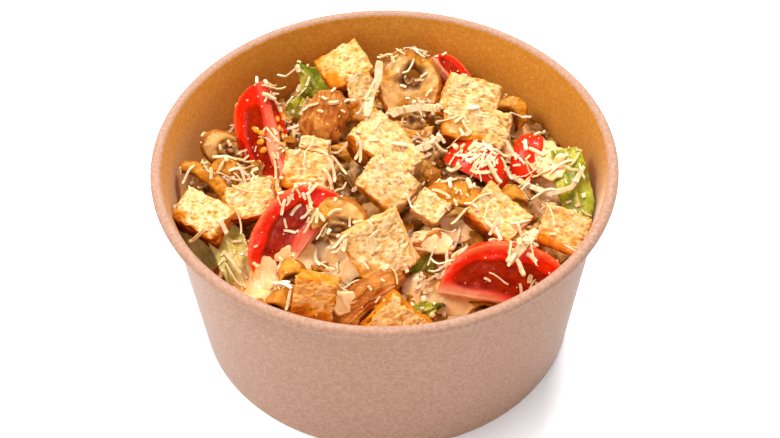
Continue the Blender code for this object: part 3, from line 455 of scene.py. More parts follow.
def dressing_finish():
    f = Finish("creamy_dressing", Specular_IOR_Level=0.15, Coat_Weight=0.2, Coat_Roughness=0.18,
               Subsurface_Weight=0.25, Subsurface_Scale=0.0015, Subsurface_Radius=(1.0, 0.7, 0.4))
    f.colour(f.ramp(f.mottle(170, 0.3, 0.7), [(0.0, "fbd4a0"), (0.6, "f8c688"), (1.0, "efae60")]))
    f.rough(f.mottle(300), 0.25, 0.45)
    f.bump(f.mottle(330, 0.2, 0.8), 0.15, 0.4)
    return f.material


def coated_finish():
    f = Finish("coated_mix", Specular_IOR_Level=0.15)
    low_and_shaded = f.ramp(f.mottle(130, 0.3, 0.7), [(0.0, "3c1a04"), (0.5, "94580c"), (1.0, "c48420")])
    sauce = f.ramp(f.mottle(200), [(0.0, "e8a84c"), (1.0, "fac884")])
    # Dark mix in the low parts and sauce on the lumps: the dark is partly the mix's own brown, partly painted
    # shade between the lumps.
    f.colour(f.mix(f.mask("high"), low_and_shaded, sauce))
    f.rough(f.mottle(500), 0.25, 0.55)
    f.bump(f.mottle(420, 0.2, 0.8), 0.5, 0.7)
    return f.material


def paper_finish():
    f = Finish("kraft_paper", Sheen_Weight=0.4, Sheen_Roughness=0.3, Specular_IOR_Level=0.2)
    outer = f.ramp(f.mottle(900, 0.3, 0.7), [(0.0, "ac7e64"), (0.5, "b48a72"), (1.0, "bc9680")])
    inner = f.ramp(f.mottle(900, 0.3, 0.7), [(0.0, "c67e20"), (0.5, "cc882c"), (1.0, "d4963c")])
    base = f.mix(f.mask("inside"), outer, inner)
    base = f.mix(f.math("MULTIPLY", f.mottle(2600, 0.55, 0.75), 0.3), base, "9a6848")
    f.colour(f.mix(f.math("MULTIPLY", f.mottle(1900, 0.6, 0.8), 0.35), base, "e8ccb8"))
    f.rough(f.mottle(700), 0.6, 0.8)
    f.bump(f.mottle(1700, 0.2, 0.8), 0.05, 0.5)
    return f.material


def floor_finish():
    f = Finish("pale_floor", Roughness=0.6, Emission_Strength=1.0)
    f.colour(f.ramp(f.mottle(6, 0.2, 0.8), [(0.0, "f6f7fa"), (1.0, "f4f5f8")]))
    # Painted light: the floor glows for the camera only and fades out toward the bowl, a painted shadow round
    # its foot.
    straight = put(f.tree, "ShaderNodeLightPath").outputs["Is Camera Ray"]
    reach = put(f.tree, "ShaderNodeVectorMath", operation="LENGTH")
    wire(f.tree, put(f.tree, "ShaderNodeTexCoord").outputs["Object"], reach.inputs[0])
    far = put(f.tree, "ShaderNodeMapRange", interpolation_type="SMOOTHSTEP")
    far.inputs["From Min"].default_value, far.inputs["From Max"].default_value = FLOOR_GLOW
    wire(f.tree, reach.outputs["Value"], far.inputs["Value"])
    glow = f.math("MULTIPLY", straight, far.outputs["Result"])
    wire(f.tree, f.mix(glow, "000000", "ffffff"), f.shader.inputs["Emission Color"])
    return f.material


BREAD, TOMATO, SEED = bread_finish(), tomato_finish(), seed_finish()
MUSHROOM, CHICKEN_MEAT, LETTUCE = mushroom_finish(), chicken_finish(), lettuce_finish()
CHEESE, DRESSING_SAUCE, COATED, KRAFT = cheese_finish(), dressing_finish(), coated_finish(), paper_finish()


def piece_from(bm, name, finish, node=None, smooth=True):
    """New object from the bmesh: rides on the body and may stand for a CAD node."""
    bmesh.ops.recalc_face_normals(bm, faces=bm.faces)
    mesh = bpy.data.meshes.new(name)
    bm.to_mesh(mesh)
    bm.free()
    mesh.materials.append(finish)
    if smooth:
        mesh.shade_smooth()
    item = bpy.data.objects.new(name, mesh)
    bpy.context.scene.collection.objects.link(item)
    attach(item, "root")
    if node:
        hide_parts(node)
    return item


def even_mesh(bm, cell):
    """The closed bmesh again, remeshed to even faces of that size in metres."""
    mesh = bpy.data.meshes.new("rough_form")
    bm.to_mesh(mesh)
    bm.free()
    item = bpy.data.objects.new("rough_form", mesh)
    bpy.context.scene.collection.objects.link(item)
    remesh = item.modifiers.new("even", "REMESH")
    remesh.mode = "VOXEL"
    remesh.voxel_size = cell
    even = bpy.data.meshes.new_from_object(item.evaluated_get(bpy.context.evaluated_depsgraph_get()))
    bpy.data.objects.remove(item, do_unlink=True)
    fresh = bmesh.new()
    fresh.from_mesh(even)
    return fresh


def masks(bm, *names):
    return [bm.verts.layers.float.new(name) for name in names]


def keep_in_bowl(bm):
    """Press verts that would reach through the paper back to its inner face."""
    for vert in bm.verts:
        room = (wall_radius(vert.co.z / MM) - PAPER - WALL_GAP) * MM
        reach = math.hypot(vert.co.x, vert.co.y)
        if reach > room:
            vert.co.x *= room / reach
            vert.co.y *= room / reach


def roughen(bm, seed, coarse, fine):
    offset = shift(seed, 7.3, 3.1, 5.7)
    for vert in bm.verts:
        vert.co += wobble(vert.co / MM, offset, coarse, fine) * MM


def crouton(name, place, size, angles, sides, seed):
    """Torn bread cube with rounded toasted edges and a crumb full of stretched hollows."""
    bm = bmesh.new()
    bmesh.ops.create_cube(bm, size=1.0)
    cuts = max(12, round(sum(size) / 3.0 / FACE_SIZE))
    bmesh.ops.subdivide_edges(bm, edges=bm.edges, cuts=cuts, use_grid_fill=True)
    toast, hollow_shade = masks(bm, "toast", "hollow_shade")
    half = Vector(size) * 0.5
    offset = shift(seed, 7.3, 3.1, 5.7)
    drift = shift(seed, 11.0, 4.0, 9.0)
    turn = stance(Vector(), *angles).to_3x3()
    for vert in bm.verts:
        q = vert.co * 2.0
        worth = (abs(q.x) ** CUBE_POWER + abs(q.y) ** CUBE_POWER + abs(q.z) ** CUBE_POWER) ** (1.0 / CUBE_POWER)
        normal = Vector([math.copysign(max(0.0, abs(c) - 0.75) ** 2, c) for c in q])
        normal.normalize()
        at = Vector((q.x * half.x, q.y * half.y, q.z * half.z)) / worth
        side = 0.0
        weight = 0.0
        for axis in range(3):
            share = ease(0.9, 1.0, abs(q[axis]))
            side += share * sides[axis * 2 + (0 if q[axis] > 0 else 1)]
            weight += share
        side /= max(weight, 0.001)
        edge = ease(0.80, 0.99, sorted(abs(c) for c in q)[1])
        wander = noise.noise(at * 0.35 + drift)
        # Painted shade in part: the side toward SHADED_SIDE, away from the light, is toasted darker.
        shaded_toast = ease(0.0, 1.0, (turn @ q).dot(SHADED_SIDE) + 0.5 * wander)
        level = side * 0.62 + 0.1 * edge * (0.4 + 1.4 * wander) + 0.14 * wander
        level = max(0.0, min(1.0, level + sides[6] * shaded_toast * 0.95))
        bare = 1.0 - ease(0.35, 0.75, level)
        long_at = Vector((at.x * 0.34, at.y * 0.8, at.z * 0.8)) + drift
        cell = noise.voronoi(long_at + noise.noise_vector(at * 0.5) * 0.25)[0][0]
        hole = (1.0 - ease(0.14, 0.36, cell)) * ease(0.0, 0.3, noise.noise(at * 0.22 - drift))
        fine = noise.noise(at * 1.1 + drift) * 0.25 + noise.noise(at * 2.3 + drift) * 0.2
        streak = Vector((at.x * 0.75, at.y * 1.5, at.z * 1.5)) + drift
        pit = max(0.0, noise.noise(streak) + 0.5 * noise.noise(streak * 0.5) - 0.15)
        crag = noise.noise(at * 0.55 + drift) * 0.4
        nick = edge * max(0.0, noise.noise(at * 0.8 - drift)) * 1.4
        sink = hole * (0.2 + 0.6 * bare) + abs(fine) * (0.4 + 0.7 * bare)
        sink += max(0.0, crag) * (0.2 + 0.5 * bare)
        sink += nick * (0.3 + 0.8 * bare)
        sink += pit * (0.4 + 0.7 * bare)
        vert.co = (at + wobble(at, offset, 1.6, 0.6) * 0.9 - normal * sink) * MM
        vert[toast] = level
        # Painted shade mask: where holes and pits sink into the crumb, which the finish colours darker.
        vert[hollow_shade] = min(1.0, (hole * 0.8 + pit * 2.0) * (0.35 + 0.65 * bare))
    bmesh.ops.transform(bm, matrix=stance(seen_at(*place), *angles), verts=bm.verts)
    keep_in_bowl(bm)
    return piece_from(bm, name.replace("crouton", "bread_cube"), BREAD, name)


def fruit_radius(x, girth):
    along = min(1.0, abs(x) / (TOMATO_LENGTH / 2))
    return girth * (1.0 - along ** TOMATO_FULLNESS) ** (1.0 / TOMATO_FULLNESS)


def tomato_wedge(name, place, scale, angles, seeded, seed):
    """Wedge with skin, outer wall, seed hollows and a pale core ridge, all wet."""
    bm = bmesh.new()
    bmesh.ops.create_uvsphere(bm, u_segments=72, v_segments=36, radius=1.0)
    for vert in bm.verts:
        along = min(1.0, abs(vert.co.z))
        girth = math.sqrt(1.0 - along ** 2)
        if girth > 0.01:
            fuller = (1.0 - along ** TOMATO_FULLNESS) ** (1.0 / TOMATO_FULLNESS) / girth
            vert.co.x *= fuller
            vert.co.y *= fuller
    bmesh.ops.scale(bm, vec=(TOMATO_RADIUS, TOMATO_RADIUS, TOMATO_LENGTH / 2), verts=bm.verts)
    bmesh.ops.transform(bm, matrix=Matrix.Rotation(math.radians(90), 4, "Y"), verts=bm.verts)
    half = math.radians(TOMATO_SECTOR / 2)
    planes = [(Vector((0, 0, 0)), Vector((0, math.cos(half), math.sin(half)))),
              (Vector((0, 0, 0)), Vector((0, -math.cos(half), math.sin(half)))),
              (Vector((0, 0, -TOMATO_RIDGE)), Vector((0, 0, 1)))]
    for point, normal in planes:
        geometry = bm.verts[:] + bm.edges[:] + bm.faces[:]
        cut = bmesh.ops.bisect_plane(bm, geom=geometry, plane_co=point, plane_no=normal, clear_outer=True)
        rim = [e for e in cut["geom_cut"] if isinstance(e, bmesh.types.BMEdge)]
        bmesh.ops.contextual_create(bm, geom=rim)
    bm = even_mesh(bm, FACE_SIZE / scale ** 0.5)
    core, gel, skin, wall = masks(bm, "core", "gel", "skin", "wall")
    drift = shift(seed, 3.7, 5.1, 2.3)
    for vert in bm.verts:
        at = vert.co.copy()
        reach = math.hypot(at.y, at.z)
        full = fruit_radius(at.x, TOMATO_RADIUS)
        depth = full - reach
        side = 1.0 if at.y > 0 else -1.0
        lift = abs(at.y) * math.cos(half) + at.z * math.sin(half)
        on_cut = ease(-0.9, -0.35, lift)
        on_ridge = ease(-TOMATO_RIDGE - 1.0, -TOMATO_RIDGE - 0.3, at.z)
        flat = max(on_cut, on_ridge)
        wander = noise.noise(Vector((at.x * 0.16, at.z * 0.16, side * 4.0)) + drift)
        inner = 4.2 + 1.6 * wander
        middle = 5.0 + 2.2 * noise.noise(Vector((at.x * 0.12, side * 3.0, 5.0)) + drift)
        room = ease(inner, inner + 1.4, depth) * ease(middle, middle + 1.6, reach)
        room *= 1.0 - ease(TOMATO_LENGTH * 0.30, TOMATO_LENGTH * 0.38, abs(at.x + 2.0 * side))
        room *= flat
        vert[gel] = room
        vert[skin] = 1.0 - flat
        vert[wall] = flat * (1.0 - ease(0.2, 2.4, depth)) * 0.8
        flare = ease(-15.0, 12.0, -at.x) * 2.4
        pale = 1.0 - ease(middle - 4.4 + flare, middle + 0.2 + flare, reach)
        vert[core] = flat * pale * (0.7 + 0.7 * wander) * (0.4 + 0.6 * ease(-14.0, 4.0, -at.x))
        normal = Vector((0, 0, 1))
        if on_cut > on_ridge:
            normal = Vector((0, side * math.cos(half), math.sin(half)))
        swell = 0.25 * noise.noise(at * 0.3 + drift) + 0.12 * noise.noise(at * 0.9 + drift)
        vert.co = at + normal * flat * (swell - 0.15 - 1.0 * room)
    middle = Vector((0, 0, TOMATO_RADIUS * 0.62))
    put_down = stance(seen_at(*place), *angles) @ Matrix.Scale(scale * MM, 4) @ Matrix.Translation(middle)
    bmesh.ops.transform(bm, matrix=put_down, verts=bm.verts)
    keep_in_bowl(bm)
    item = piece_from(bm, name.replace("wedge", "cut"), TOMATO, name)
    if seeded:
        tomato_seeds(name, seeded, half, put_down, random.Random(seed + 70))
    return item


def tomato_seeds(name, seeded, half, put_down, draw):
    """Wet seeds on both cut faces of a wedge, where its hollows are deep enough."""
    bm = bmesh.new()
    for side in (1, -1):
        for index in range(seeded):
            x = -6.0 + 11.0 * (index + 0.5) / seeded + draw.uniform(-1.4, 1.4)
            reach = 7.4 + draw.uniform(-1.2, 2.6)
            if fruit_radius(x, TOMATO_RADIUS) - reach < 4.4:
                continue
            at = Vector((x, side * reach * math.sin(half), -reach * math.cos(half)))
            lean = Matrix.Rotation(side * (math.pi / 2 - half) * -1.0, 4, "X")
            turn = Matrix.Rotation(draw.uniform(-0.7, 0.7) + math.pi / 2, 4, "Z")
            pip = bmesh.ops.create_icosphere(bm, subdivisions=2, radius=1.0)["verts"]
            for vert in pip:
                narrow = 1.0 - 0.35 * vert.co.x
                vert.co = Vector((vert.co.x * 1.9, vert.co.y * 1.15 * narrow, vert.co.z * 0.9))
            shape = Matrix.Translation(at) @ lean @ turn
            bmesh.ops.transform(bm, matrix=put_down @ shape, verts=pip)
    keep_in_bowl(bm)
    return piece_from(bm, name.replace("wedge", "seeds"), SEED)


def arc_points(centre, radii, start, end, count):
    points = []
    for step in range(count):
        angle = math.radians(start + (end - start) * step / (count - 1))
        points.append((centre[0] + radii[0] * math.cos(angle), centre[1] + radii[1] * math.sin(angle)))
    return points


def mushroom_slab(kind, width, height, thickness):
    """Flat slab of the slice's outline, closed all round, in millimetres."""
    bm = bmesh.new()
    hole_x, hole_y, hole_width, hole_height = RING_HOLE
    if kind == "ring":
        corners = [(0.12, -0.5), (0.5, -0.5), (0.5, 0.5), (0.12, 0.5)]
        verts = [bm.verts.new((x, 0, z * thickness)) for x, z in corners]
        edges = [bm.edges.new((verts[i], verts[(i + 1) % 4])) for i in range(4)]
        bmesh.ops.spin(bm, geom=verts + edges, cent=(0, 0, 0), axis=(0, 0, 1), angle=math.tau,
                       steps=48, use_merge=True, dvec=(0, 0, 0))
        bmesh.ops.remove_doubles(bm, verts=bm.verts, dist=0.0001)
        for vert in bm.verts:
            reach = math.hypot(vert.co.x, vert.co.y)
            if reach > 0.3:
                vert.co.x *= width
                vert.co.y *= height
            else:
                vert.co.x = hole_x * width + vert.co.x / reach * width * hole_width
                vert.co.y = hole_y * height + vert.co.y / reach * height * hole_height
        return bm
    if kind == "cap":
        outline = arc_points((0, 0), (width / 2, height * CAP_RISE), -12, 192, 31)
        outline += [(-width * 0.2, -height * 0.02), (-width * 0.14, -height * 0.42)]
        outline += [(width * 0.14, -height * 0.42), (width * 0.2, -height * 0.02)]
    else:
        outline = arc_points((0, -height * ARC_DROP), (width / 2, height * ARC_RISE), 5, 175, 25)
        radii = (width * HOLLOW_WIDTH, height * HOLLOW_RISE)
        outline += arc_points((0, -height * HOLLOW_DROP), radii, 170, 10, 19)
    base = bm.faces.new([bm.verts.new((x, y, -thickness / 2)) for x, y in outline])
    raised = bmesh.ops.extrude_face_region(bm, geom=[base])["geom"]
    lifted = [v for v in raised if isinstance(v, bmesh.types.BMVert)]
    bmesh.ops.translate(bm, vec=(0, 0, thickness), verts=lifted)
    return bm


def mushroom_slice(name, place, size, kind, angles, seed):
    """Fried slice: brown rim, paler flesh, dark gills, wrinkled and oily."""
    width, height, thickness = size
    hole_x, hole_y, hole_width, hole_height = RING_HOLE
    bm = even_mesh(mushroom_slab(kind, width, height, thickness), FACE_SIZE)
    rim, gill, pale = masks(bm, "rim", "gill", "pale")
    drift = shift(seed, 4.1, 2.9, 6.3)
    for vert in bm.verts:
        at = vert.co
        u, v = at.x / (width / 2), at.y / (height / 2)
        if kind == "ring":
            out = math.hypot(u, v)
            hole = math.hypot((at.x - hole_x * width) / (width * hole_width),
                              (at.y - hole_y * height) / (height * hole_height))
            dark = 1.0 - ease(1.0, 2.1, hole + 0.5 * noise.noise(at * 0.3 + drift))
        elif kind == "cap":
            out = math.hypot(u, at.y / (height * CAP_RISE)) if at.y > 0 else max(abs(u), 0.6)
            under = math.hypot((at.x - 0.04 * width) / (0.36 * width),
                               (at.y + 0.12 * height) / (0.30 * height))
            lines = 0.5 + 0.5 * math.sin(under * 9.0 + 4.0 * noise.noise(at * 0.35 + drift))
            dark = (1.0 - ease(0.7, 1.0, under)) * (0.4 + 0.6 * lines)
        else:
            out = math.hypot(u, (at.y + height * ARC_DROP) / (height * ARC_RISE))
            under = math.hypot(at.x / (width * HOLLOW_WIDTH),
                               (at.y + height * HOLLOW_DROP) / (height * HOLLOW_RISE))
            dark = 0.6 * (1.0 - ease(0.0, 0.12, abs(under - 1.0)))
        edge = ease(0.86, 0.99, out + 0.05 * noise.noise(at * 0.4 + drift))
        round_off = (ease(0.3, 0.5, abs(at.z) / thickness)) * ease(0.8, 1.0, out)
        ridges = noise.noise(Vector((at.x * 1.1, at.y * 0.35, seed))) * 0.25
        vert[rim] = min(1.0, edge * 0.75)
        vert[gill] = max(0.0, min(1.0, dark))
        vert[pale] = 0.0
        if kind != "arc":
            vert[pale] = ease(-0.5, 0.3, noise.noise(at * 0.16 + drift)) * (1.0 - edge) * 0.85
        at.z += (0.9 * math.cos(at.x / width * 4.0) + 0.8 * math.sin(at.y / height * 3.0 + seed))
        at.z += ridges + 0.4 * noise.noise(at * 0.45 + drift) - 1.2 * dark * (1 if vert.co.z > 0 else 0)
        at.x *= 1.0 - 0.06 * round_off
        at.y *= 1.0 - 0.06 * round_off
    bmesh.ops.scale(bm, vec=(MM, MM, MM), verts=bm.verts)
    roughen(bm, seed, 0.8, 0.5)
    bmesh.ops.transform(bm, matrix=stance(seen_at(*place), *angles), verts=bm.verts)
    keep_in_bowl(bm)
    return piece_from(bm, name.replace("mushroom", "fried_mushroom"), MUSHROOM, name)


def chicken_piece(name, place, size, angles, seed):
    """Browned meat whose strands run along it."""
    bm = bmesh.new()
    bmesh.ops.create_cube(bm, size=1.0)
    bmesh.ops.subdivide_edges(bm, edges=bm.edges, cuts=34, use_grid_fill=True)
    strand = masks(bm, "strand")[0]
    for vert in bm.verts:
        q = vert.co * 2.0
        worth = (abs(q.x) ** 6 + abs(q.y) ** 6 + abs(q.z) ** 6) ** (1.0 / 6.0)
        x, y, z = vert.co / worth
        taper = 1.0 - 0.5 * abs(2 * x) ** 3
        x, y, z = x * size[0], y * taper * size[1], z * taper * size[2]
        line = noise.noise(Vector((x * 0.09, y * 1.3 + 0.4 * math.sin(x * 0.3), z * 1.3 + seed)))
        shred = noise.noise(Vector((x * 0.25, y * 2.6, z * 2.6 - seed)))
        vert[strand] = min(1.0, max(0.0, 0.5 + line * 0.9 + shred * 0.3))
        grain = 1.0 + 0.13 * line + 0.08 * shred
        vert.co = Vector((x, y * grain + 1.4 * math.sin(x / size[0] * 4.0 + seed), z * grain)) * MM
    roughen(bm, seed, 1.6, 1.0)
    bmesh.ops.transform(bm, matrix=stance(seen_at(*place), *angles), verts=bm.verts)
    keep_in_bowl(bm)
    return piece_from(bm, name.replace("chicken", "meat"), CHICKEN_MEAT, name)


def leaf(name, place, size, angles, ribbed, seed):
    """Wavy leaf with a raised midrib and side veins."""
    length, width = size
    pointed = 1.0 if ribbed < 0.12 else 0.3
    bm = bmesh.new()
    bmesh.ops.create_grid(bm, x_segments=70, y_segments=34, size=0.5)
    rib = masks(bm, "rib")[0]
    for vert in bm.verts:
        along, across = vert.co.x, vert.co.y
        half = width * (0.3 + 0.7 * max(0.0, math.cos((along + 0.1) * 2.4)) ** 0.8)
        half *= 1.0 - pointed * 0.85 * ease(0.05, 0.5, along)
        ragged = 1.0 + 0.10 * noise.noise(Vector((along * 9.0, across * 2.0, seed * 3.0)))
        ruffle = 1.6 * abs(2 * across) * math.sin(along * 14.0 + seed + 3.0 * across)
        z = (ruffle + 3.0 * across * across - 5.0 * along * along) * min(1.0, length / 30.0)
        midrib = 1.0 - ease(0.03, 0.10 + 0.16 * ribbed, abs(across + 0.02 * math.sin(along * 7)))
        vein = abs(math.sin((along * 9.0 - abs(across) * 7.0 + seed) * 1.9))
        vein = (1.0 - ease(0.0, 0.22, vein)) * 0.55
        z += 0.9 * midrib + 0.25 * vein + 0.35 * noise.noise(Vector((along * 20, across * 14, seed)))
        flat_rib = 0.75 * ribbed - 0.1 * abs(across)
        vert[rib] = min(1.0, max(midrib * (0.4 + 0.6 * ribbed), vein * 0.45, flat_rib))
        vert.co = Vector((along * length, across * half * ragged, z)) * MM
    bmesh.ops.transform(bm, matrix=stance(seen_at(*place), *angles), verts=bm.verts)
    bmesh.ops.solidify(bm, geom=bm.faces[:], thickness=LEAF_THICKNESS * MM)
    keep_in_bowl(bm)
    return piece_from(bm, name.replace("lettuce", "green"), LETTUCE, name)


def long_shred(node, seed):
    """Long cheese strip of the node's own form, with softly torn edges."""
    bm = bmesh.new()
    bm.from_mesh(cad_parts[node].data)
    bmesh.ops.remove_doubles(bm, verts=bm.verts, dist=0.000002)
    bm = even_mesh(bm, 0.00026)
    tone = masks(bm, "tone")[0]
    for vert in bm.verts:
        at = vert.co / MM
        vert.co += noise.noise_vector(at * 0.8 + Vector((seed, 0, 0))) * 0.12 * MM
        vert[tone] = 0.35 + 0.4 * noise.noise(at * 0.3)
    for _ in range(2):
        bmesh.ops.smooth_vert(bm, verts=bm.verts, factor=0.4,
                              use_axis_x=True, use_axis_y=True, use_axis_z=True)
    return piece_from(bm, node.replace("shred", "strand"), CHEESE, node)


def bowl_profile():
    """Outline of the paper shell from the floor's middle over the rim to the foot."""
    floor = FOOT_RECESS + PAPER
    centre = (RIM_RADIUS - RIM_ROLL, BOWL_HEIGHT - RIM_ROLL)
    line = [(0.0, floor, 1.0), (wall_radius(floor) - PAPER - 2.0, floor, 1.0),
            (wall_radius(floor) - PAPER - 0.3, floor + 0.7, 1.0)]
    line += [(wall_radius(z) - PAPER, z, 1.0) for z in np.linspace(floor + 2.5, WALL_TOP_HEIGHT, 9)]
    for step in range(RIM_STEPS + 1):
        angle = math.radians(180.0 - 320.0 * step / RIM_STEPS)
        inside = 1.0 if step < 3 else 0.0
        line.append((centre[0] + RIM_ROLL * math.cos(angle), centre[1] + RIM_ROLL * math.sin(angle), inside))
    line += [(wall_radius(z), z, 0.0) for z in np.linspace(WALL_TOP_HEIGHT, FOOT_FOLD, 12)]
    line += [(FOOT_RADIUS - FOOT_FOLD, 0.0, 0.0), (FOOT_RADIUS - FOOT_WIDTH, 0.0, 0.0),
             (wall_radius(FOOT_RECESS) - FOOT_WIDTH, FOOT_RECESS, 0.0), (0.0, FOOT_RECESS, 0.0)]
    return line


def paper_bowl():
    bm = bmesh.new()
    inside = masks(bm, "inside")[0]
    verts = []
    for reach, z, within in bowl_profile():
        vert = bm.verts.new((reach * MM, 0, z * MM))
        vert[inside] = within
        verts.append(vert)
    edges = [bm.edges.new(pair) for pair in zip(verts, verts[1:])]
    bmesh.ops.spin(bm, geom=verts + edges, cent=(0, 0, 0), axis=(0, 0, 1), angle=math.tau, steps=180,
                   use_merge=True, dvec=(0, 0, 0))
    bmesh.ops.remove_doubles(bm, verts=bm.verts, dist=0.00001)
    item = piece_from(bm, "paper_bowl", KRAFT, "bowl")
    item.data.set_sharp_from_angle(angle=math.radians(40))
    return item


def salad_base():
    """Coated mix below the toppings: a bumpy core with hollows between its lumps."""
    bm = bmesh.new()
    bmesh.ops.create_grid(bm, x_segments=CORE_GRID, y_segments=CORE_GRID, size=72.0 * MM)
    outside = [v for v in bm.verts if math.hypot(v.co.x, v.co.y) > CORE_CUT * MM]
    bmesh.ops.delete(bm, geom=outside, context="VERTS")
    high = masks(bm, "high")[0]
    for vert in bm.verts:
        x, y = vert.co.x / MM, vert.co.y / MM
        lump = noise.noise(Vector((x * 0.25, y * 0.25, 3.0)))
        fine = noise.noise(Vector((x * 0.7, y * 0.7, 6.0)))
        vert.co.z = (core_height(x, y) - 0.6 + 1.4 * lump + 0.6 * fine) * MM
        # high: 1 on the lumps, 0 in the hollows between them, where the finish paints shade.
        vert[high] = ease(-0.3, 0.3, lump + 0.4 * fine) * 0.85
    bmesh.ops.solidify(bm, geom=bm.faces[:], thickness=CORE_CRUST * MM)
    keep_in_bowl(bm)
    return piece_from(bm, "coated_mix", COATED, "salad_heap")


def surface_below(items):
    """Search tree of all pieces, with the kind of piece for each of its faces."""
    points, faces, kinds = [], [], []
    for item in items:
        base = len(points)
        points += [v.co[:] for v in item.data.vertices]
        for face in item.data.polygons:
            faces.append([base + i for i in face.vertices])
        kinds += [item.data.materials[0].name] * len(item.data.polygons)
    return BVHTree.FromPolygons(points, faces), kinds


def drop(tree, x, y):
    return tree.ray_cast(Vector((x * MM, y * MM, DROP_FROM)), Vector((0, 0, -1)))


def seen(tree, x, y):
    """What the eye meets on its way to x, y on the level plane."""
    eye = EYE * MM
    return tree.ray_cast(eye, (Vector((x, y, LEVEL)) * MM - eye).normalized())


def dressing_patch(index, patch, tree, bm):
    """Thick oval of dressing that sags over what lies below it."""
    x, y, length, width, turn, depth = patch
    middle = seen(tree, x, y)[0]
    if middle is None:
        return
    made = bmesh.ops.create_grid(bm, x_segments=30, y_segments=24, size=1.0)["verts"]
    heading = Matrix.Rotation(math.radians(turn), 2)
    rows = []
    for vert in made:
        u, v = vert.co.x, vert.co.y
        disc = Vector((u * math.sqrt(1 - v * v / 2), v * math.sqrt(1 - u * u / 2)))
        angle = math.atan2(disc.y, disc.x)
        ring = Vector((math.cos(angle) * 2.4, math.sin(angle) * 2.4, index * 5.0))
        ragged = 1.0 + 0.22 * noise.noise(ring)
        spot = heading @ Vector((disc.x * length * 0.6 * ragged, disc.y * width * 0.6 * ragged))
        px, py = middle.x / MM + spot.x, middle.y / MM + spot.y
        hit = drop(tree, px, py)[0]
        rest = hit.z / MM if hit else middle.z / MM
        rest = max(min(rest, middle.z / MM + 2.0), middle.z / MM - 3.5)
        rows.append((vert, px, py, rest, disc.length))
    for vert, px, py, rest, out in rows:
        vert.co = Vector((px, py, rest)) * MM
    for _ in range(30):
        bmesh.ops.smooth_vert(bm, verts=made, factor=0.5,
                              use_axis_x=False, use_axis_y=False, use_axis_z=True)
    for vert, px, py, rest, out in rows:
        crown = 0.75 * depth * (1.0 - out ** 2.5) - 0.35
        wave = 0.45 * noise.noise(Vector((px * 0.25, py * 0.25, 8.0)))
        vert.co.z += (crown + wave) * MM
    faces = list(dict.fromkeys(face for vert in made for face in vert.link_faces))
    bmesh.ops.solidify(bm, geom=faces, thickness=DRESSING_THICKNESS * MM)


def shred(bm, tone_layer, points, ups, width, thickness, tone):
    """Flat strip: a ribbon bent along the points and given its thickness."""
    last = len(points) - 1
    ribbon = bmesh.ops.create_grid(bm, x_segments=last, y_segments=1, size=0.5)["verts"]
    for vert in ribbon:
        index = round((vert.co.x + 0.5) * last)
        ahead = (points[min(index + 1, last)] - points[max(index - 1, 0)]).normalized()
        side = ups[index].cross(ahead).normalized()
        lift = ahead.cross(side).normalized()
        narrow = 0.78 if index in (0, last) else 1.0
        vert.co = points[index] + side * width * vert.co.y * narrow + lift * thickness * 0.5
        vert[tone_layer] = tone
    faces = list(dict.fromkeys(face for vert in ribbon for face in vert.link_faces))
    for face in faces:
        face.normal_update()
    bmesh.ops.solidify(bm, geom=faces, thickness=thickness)


def try_shred(bm, tone_layer, tree, kinds, draw, x, y, length, chance, scale=1.0):
    """Lay one shred where it comes to rest, if that place takes it."""
    heading = draw.uniform(0.0, math.pi)
    width = (0.5 + 0.95 * draw.random() ** 1.3) * (0.5 + 0.5 * scale)
    width *= 1.0 if length < 5.0 else 0.75
    thickness = width * draw.uniform(0.35, 0.8)
    middle = drop(tree, x, y)
    if middle[0] is None or math.hypot(x, y) > SHRED_MIDDLE_REACH:
        return False
    if draw.random() > chance.get(kinds[middle[2]], 1.0):
        return False
    curve = draw.uniform(-0.5, 0.5) * (1.0 if length < 4.0 else 2.2)
    hits = []
    for step in range(SHRED_STEPS):
        t = (step / (SHRED_STEPS - 1) - 0.5) * length
        bow = curve * (t * t / length - length / 12.0) * 0.5
        px = x + t * math.cos(heading) - bow * math.sin(heading)
        py = y + t * math.sin(heading) + bow * math.cos(heading)
        if math.hypot(px, py) > SHRED_END_REACH:
            return False
        hit = drop(tree, px, py)
        if hit[0] is None:
            return False
        hits.append((px, py, hit[0].z / MM, hit[1]))
    heights = [h[2] for h in hits]
    top = max(heights)
    if top > SHRED_TOP:
        return False
    sag = 1.2 + 0.35 * length
    heights = [max(h, top - sag) for h in heights]
    bridged = [max(heights[max(0, i - 1):i + 2]) for i in range(SHRED_STEPS)]
    near = [bridged[max(0, i - 1):i + 2] for i in range(SHRED_STEPS)]
    eased = [sum(few) / len(few) for few in near]
    lift = thickness * 0.4 + draw.uniform(0.0, 0.7)
    points = [Vector((x, y, max(even, low) + lift)) * MM
              for (x, y, *_), even, low in zip(hits, eased, heights)]
    up = sum((h[3] for h in hits), Vector((0, 0, 2.0))).normalized()
    up = (up + Vector((draw.uniform(-0.7, 0.7), draw.uniform(-0.7, 0.7), 0))).normalized()
    shred(bm, tone_layer, points, [up] * SHRED_STEPS, width * MM, thickness * MM, draw.uniform(0.0, 0.6))
    return True


